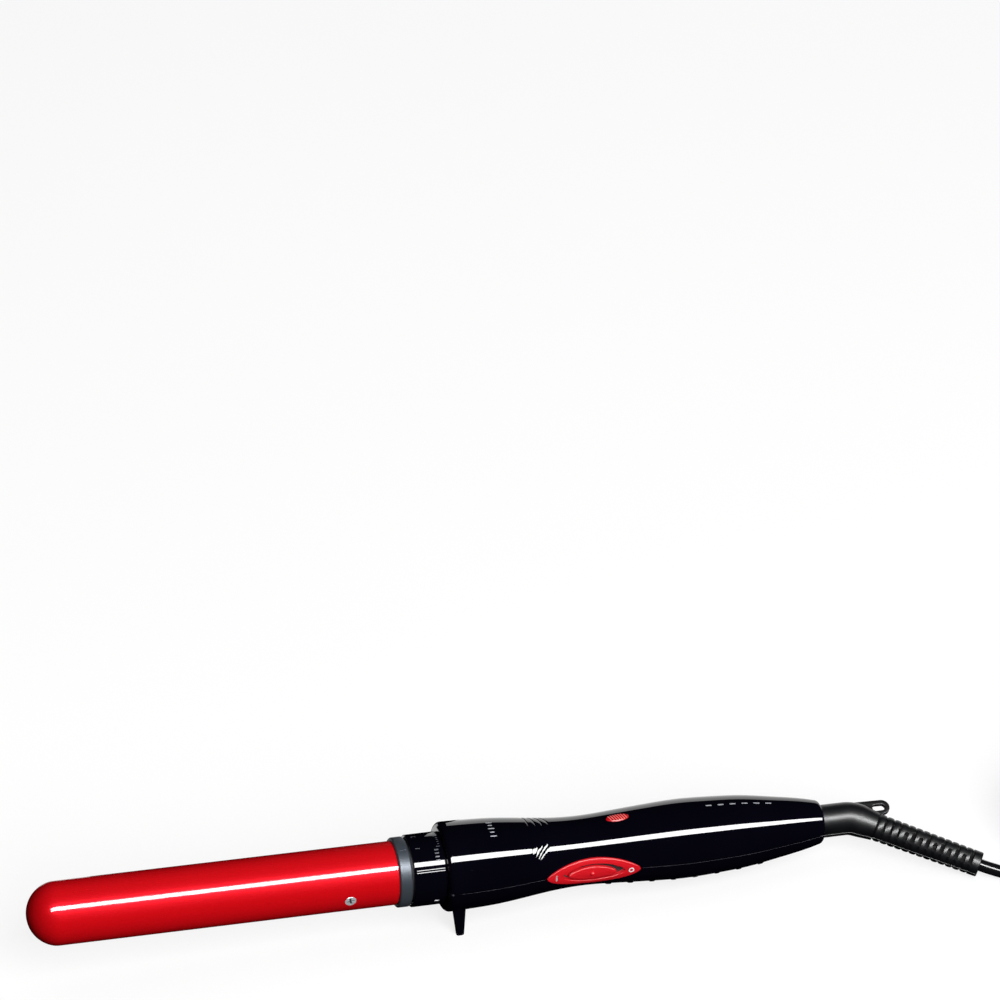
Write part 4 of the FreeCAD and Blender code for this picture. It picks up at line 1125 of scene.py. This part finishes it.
def plug_sleeve():
    """The plug's tapered sleeve, ringed along its length."""
    outline = [(0, 0), (0, 2.55), (0, 3.1), (0.3, 3.4)]
    for i in range(5):
        x = 2.2 + 3.0 * i
        r = 3.4 + 0.067 * x
        outline += [(x - 0.15, r), (x, r - 0.15), (x + 0.05, r - 0.7), (x + 1.05, r - 0.65),
                    (x + 1.1, r - 0.1), (x + 1.25, r + 0.06)]
    outline += [(18.0, 4.6), (18.5, 4.6), (18.5, 0)]
    return piece("plug_sleeve", spun(outline, closed=False, steps=64), "guard_black", "cord_swivel",
                 ["plug_relief"], place=plug_place())


def plug_grip():
    """The plug's body: a tapered block with soft edges and three finger lines on each face."""
    rings = []
    for x, width, thick in ((18.0, 13.0, 9.6), (18.6, 15.0, 11.2), (22.0, 18.2, 12.2), (26.0, 21.4, 12.5),
                            (30.0, 23.6, 12.6), (42.8, 24.0, 12.6), (43.7, 23.4, 12.0), (44.0, 22.6, 11.2)):
        corners = [(a * width / 2, b * thick / 2) for a, b in CORNERS]
        rings.append([(x, y, z) for y, z in eased(corners, 3.4, 6)])
    bm = lofted(rings)
    lines = []
    for side in (-1, 1):
        for i in range(3):
            x = 27.0 + 4.0 * i
            lines.append(turned(block((x, x + 1.4), (-7, 7), (5.7, 9)), about_x(0 if side > 0 else 180)))
    return piece("plug_grip", carved(bm, together(*lines)), "guard_black", "cord_swivel",
                 ["plug_body"], place=plug_place())


# Studio

def stage_mesh(name, corners, material):
    bm = bmesh.new()
    bm.faces.new([bm.verts.new(c) for c in corners])
    mesh = meshed(bm, name)
    mesh.materials.append(material)
    obj = added(name, mesh)
    return obj


def glow(material, strength):
    set_sockets(material.node_tree.nodes["Principled BSDF"],
                {"Emission Color": (1, 1, 1, 1), "Emission Strength": strength})


def glowing(name, strength):
    made = bpy.data.materials.new(name)
    made.use_nodes = True
    glow(made, strength)
    made.node_tree.nodes["Principled BSDF"].inputs["Base Color"].default_value = (0, 0, 0, 1)
    return made


def area_light(name, radiance, centre, toward, size, along):
    """A rectangular lamp of that radiance, its long side along a direction."""
    data = bpy.data.lights.new(name, "AREA")
    data.shape = "RECTANGLE"
    data.size, data.size_y = size
    data.energy = radiance * math.pi * size[0] * size[1]
    lamp = added(name, data)
    back = (Vector(centre) - Vector(toward)).normalized()
    side = (Vector(along) - back * back.dot(Vector(along))).normalized()
    turn = Matrix((side, back.cross(side), back)).transposed().to_4x4()
    lamp.matrix_world = Matrix.Translation(centre) @ turn
    lamp.visible_camera = False
    return lamp


def studio():
    pale = finish("pale_floor", (0.27, 0.27, 0.27), (0.25, 0.25, 0.25), (0.8, 0.9), patch=3, bump=0.0,
                  specular=0.0)
    glow(pale, 0.76)
    floor = stage_mesh("floor", [(-6, -4, 0), (6, -4, 0), (6, 8, 0), (-6, 8, 0)], pale)
    floor.visible_glossy = floor.visible_diffuse = False
    wide = [(0.118, -0.55), (0.8, -0.55), (0.8, 0.16), (0.1, 0.16), (0.092, 0), (0.094, -0.2), (0.104, -0.35)]
    small = [(-0.22, -0.42), (-0.1, -0.42), (-0.1, -0.1), (-0.22, -0.1)]
    for name, outline in (("pale_card", wide), ("rim_card", small)):
        card = stage_mesh(name, [(x, CARD_Y, z) for x, z in outline], glowing(name, 1.1))
        card.visible_camera = card.visible_diffuse = card.visible_shadow = False
    reach = STRIP_REACH / MM
    lift = math.radians(VIEW_RISE + STRIP_ABOVE_VIEW)
    middle = WAND @ Vector((STRIP_MIDDLE, -reach * math.cos(lift), reach * math.sin(lift)))
    toward = WAND @ Vector((STRIP_MIDDLE, 0, 0))
    along = WAND.to_3x3() @ Vector((1, 0, 0))
    strip = area_light("strip", 30.0, middle, toward, (2.06, 0.22), along)
    strip.visible_diffuse = False
    softbox = area_light("softbox", 7.0, (0.35, -1.5, 1.25), (0.05, 0, 0), (1.6, 1.6), (1, 0, 0))
    overhead = area_light("overhead", 0.8, (0.3, 0.6, 1.9), (0.05, 0, 0), (2.4, 2.4), (1, 0, 0))
    softbox.visible_glossy = overhead.visible_glossy = False
    world = bpy.data.worlds.new("studio")
    bpy.context.scene.world = world
    world.use_nodes = True
    tree = world.node_tree
    back = tree.nodes["Background"]
    ray = tree.nodes.new("ShaderNodeLightPath")
    fill = tree.nodes.new("ShaderNodeMath")
    fill.operation = "MULTIPLY_ADD"
    fill.inputs[1].default_value = 0.05
    tree.links.new(ray.outputs["Is Diffuse Ray"], fill.inputs[0])
    tree.links.new(ray.outputs["Is Camera Ray"], fill.inputs[2])
    tree.links.new(fill.outputs["Value"], back.inputs["Strength"])
    back.inputs["Color"].default_value = (0.95, 0.95, 0.95, 1)
    bpy.context.scene.view_settings.view_transform = "Standard"


def main():
    record_slots = {s["node"]: s["material_slot"] for s in frame["record"]["subparts"]}
    for name, node in frame["nodes"].items():
        node.data.materials.clear()
        node.data.materials.append(FINISHES[record_slots[name]])
    camera()
    cord = mains_cord()
    for make in (barrel_tube, cross_screws, grey_ring, dial, dial_marks, upper_shell, lower_shell,
                 seam_lip, case_screws, plate, knob, switch_marks, lens, handle_ornament, stand_yoke,
                 cord_guard):
        make()
    pieces = [coil_ties(), plug_sleeve(), plug_grip(), frame["nodes"]["plug_blades"]]
    studio()


main()
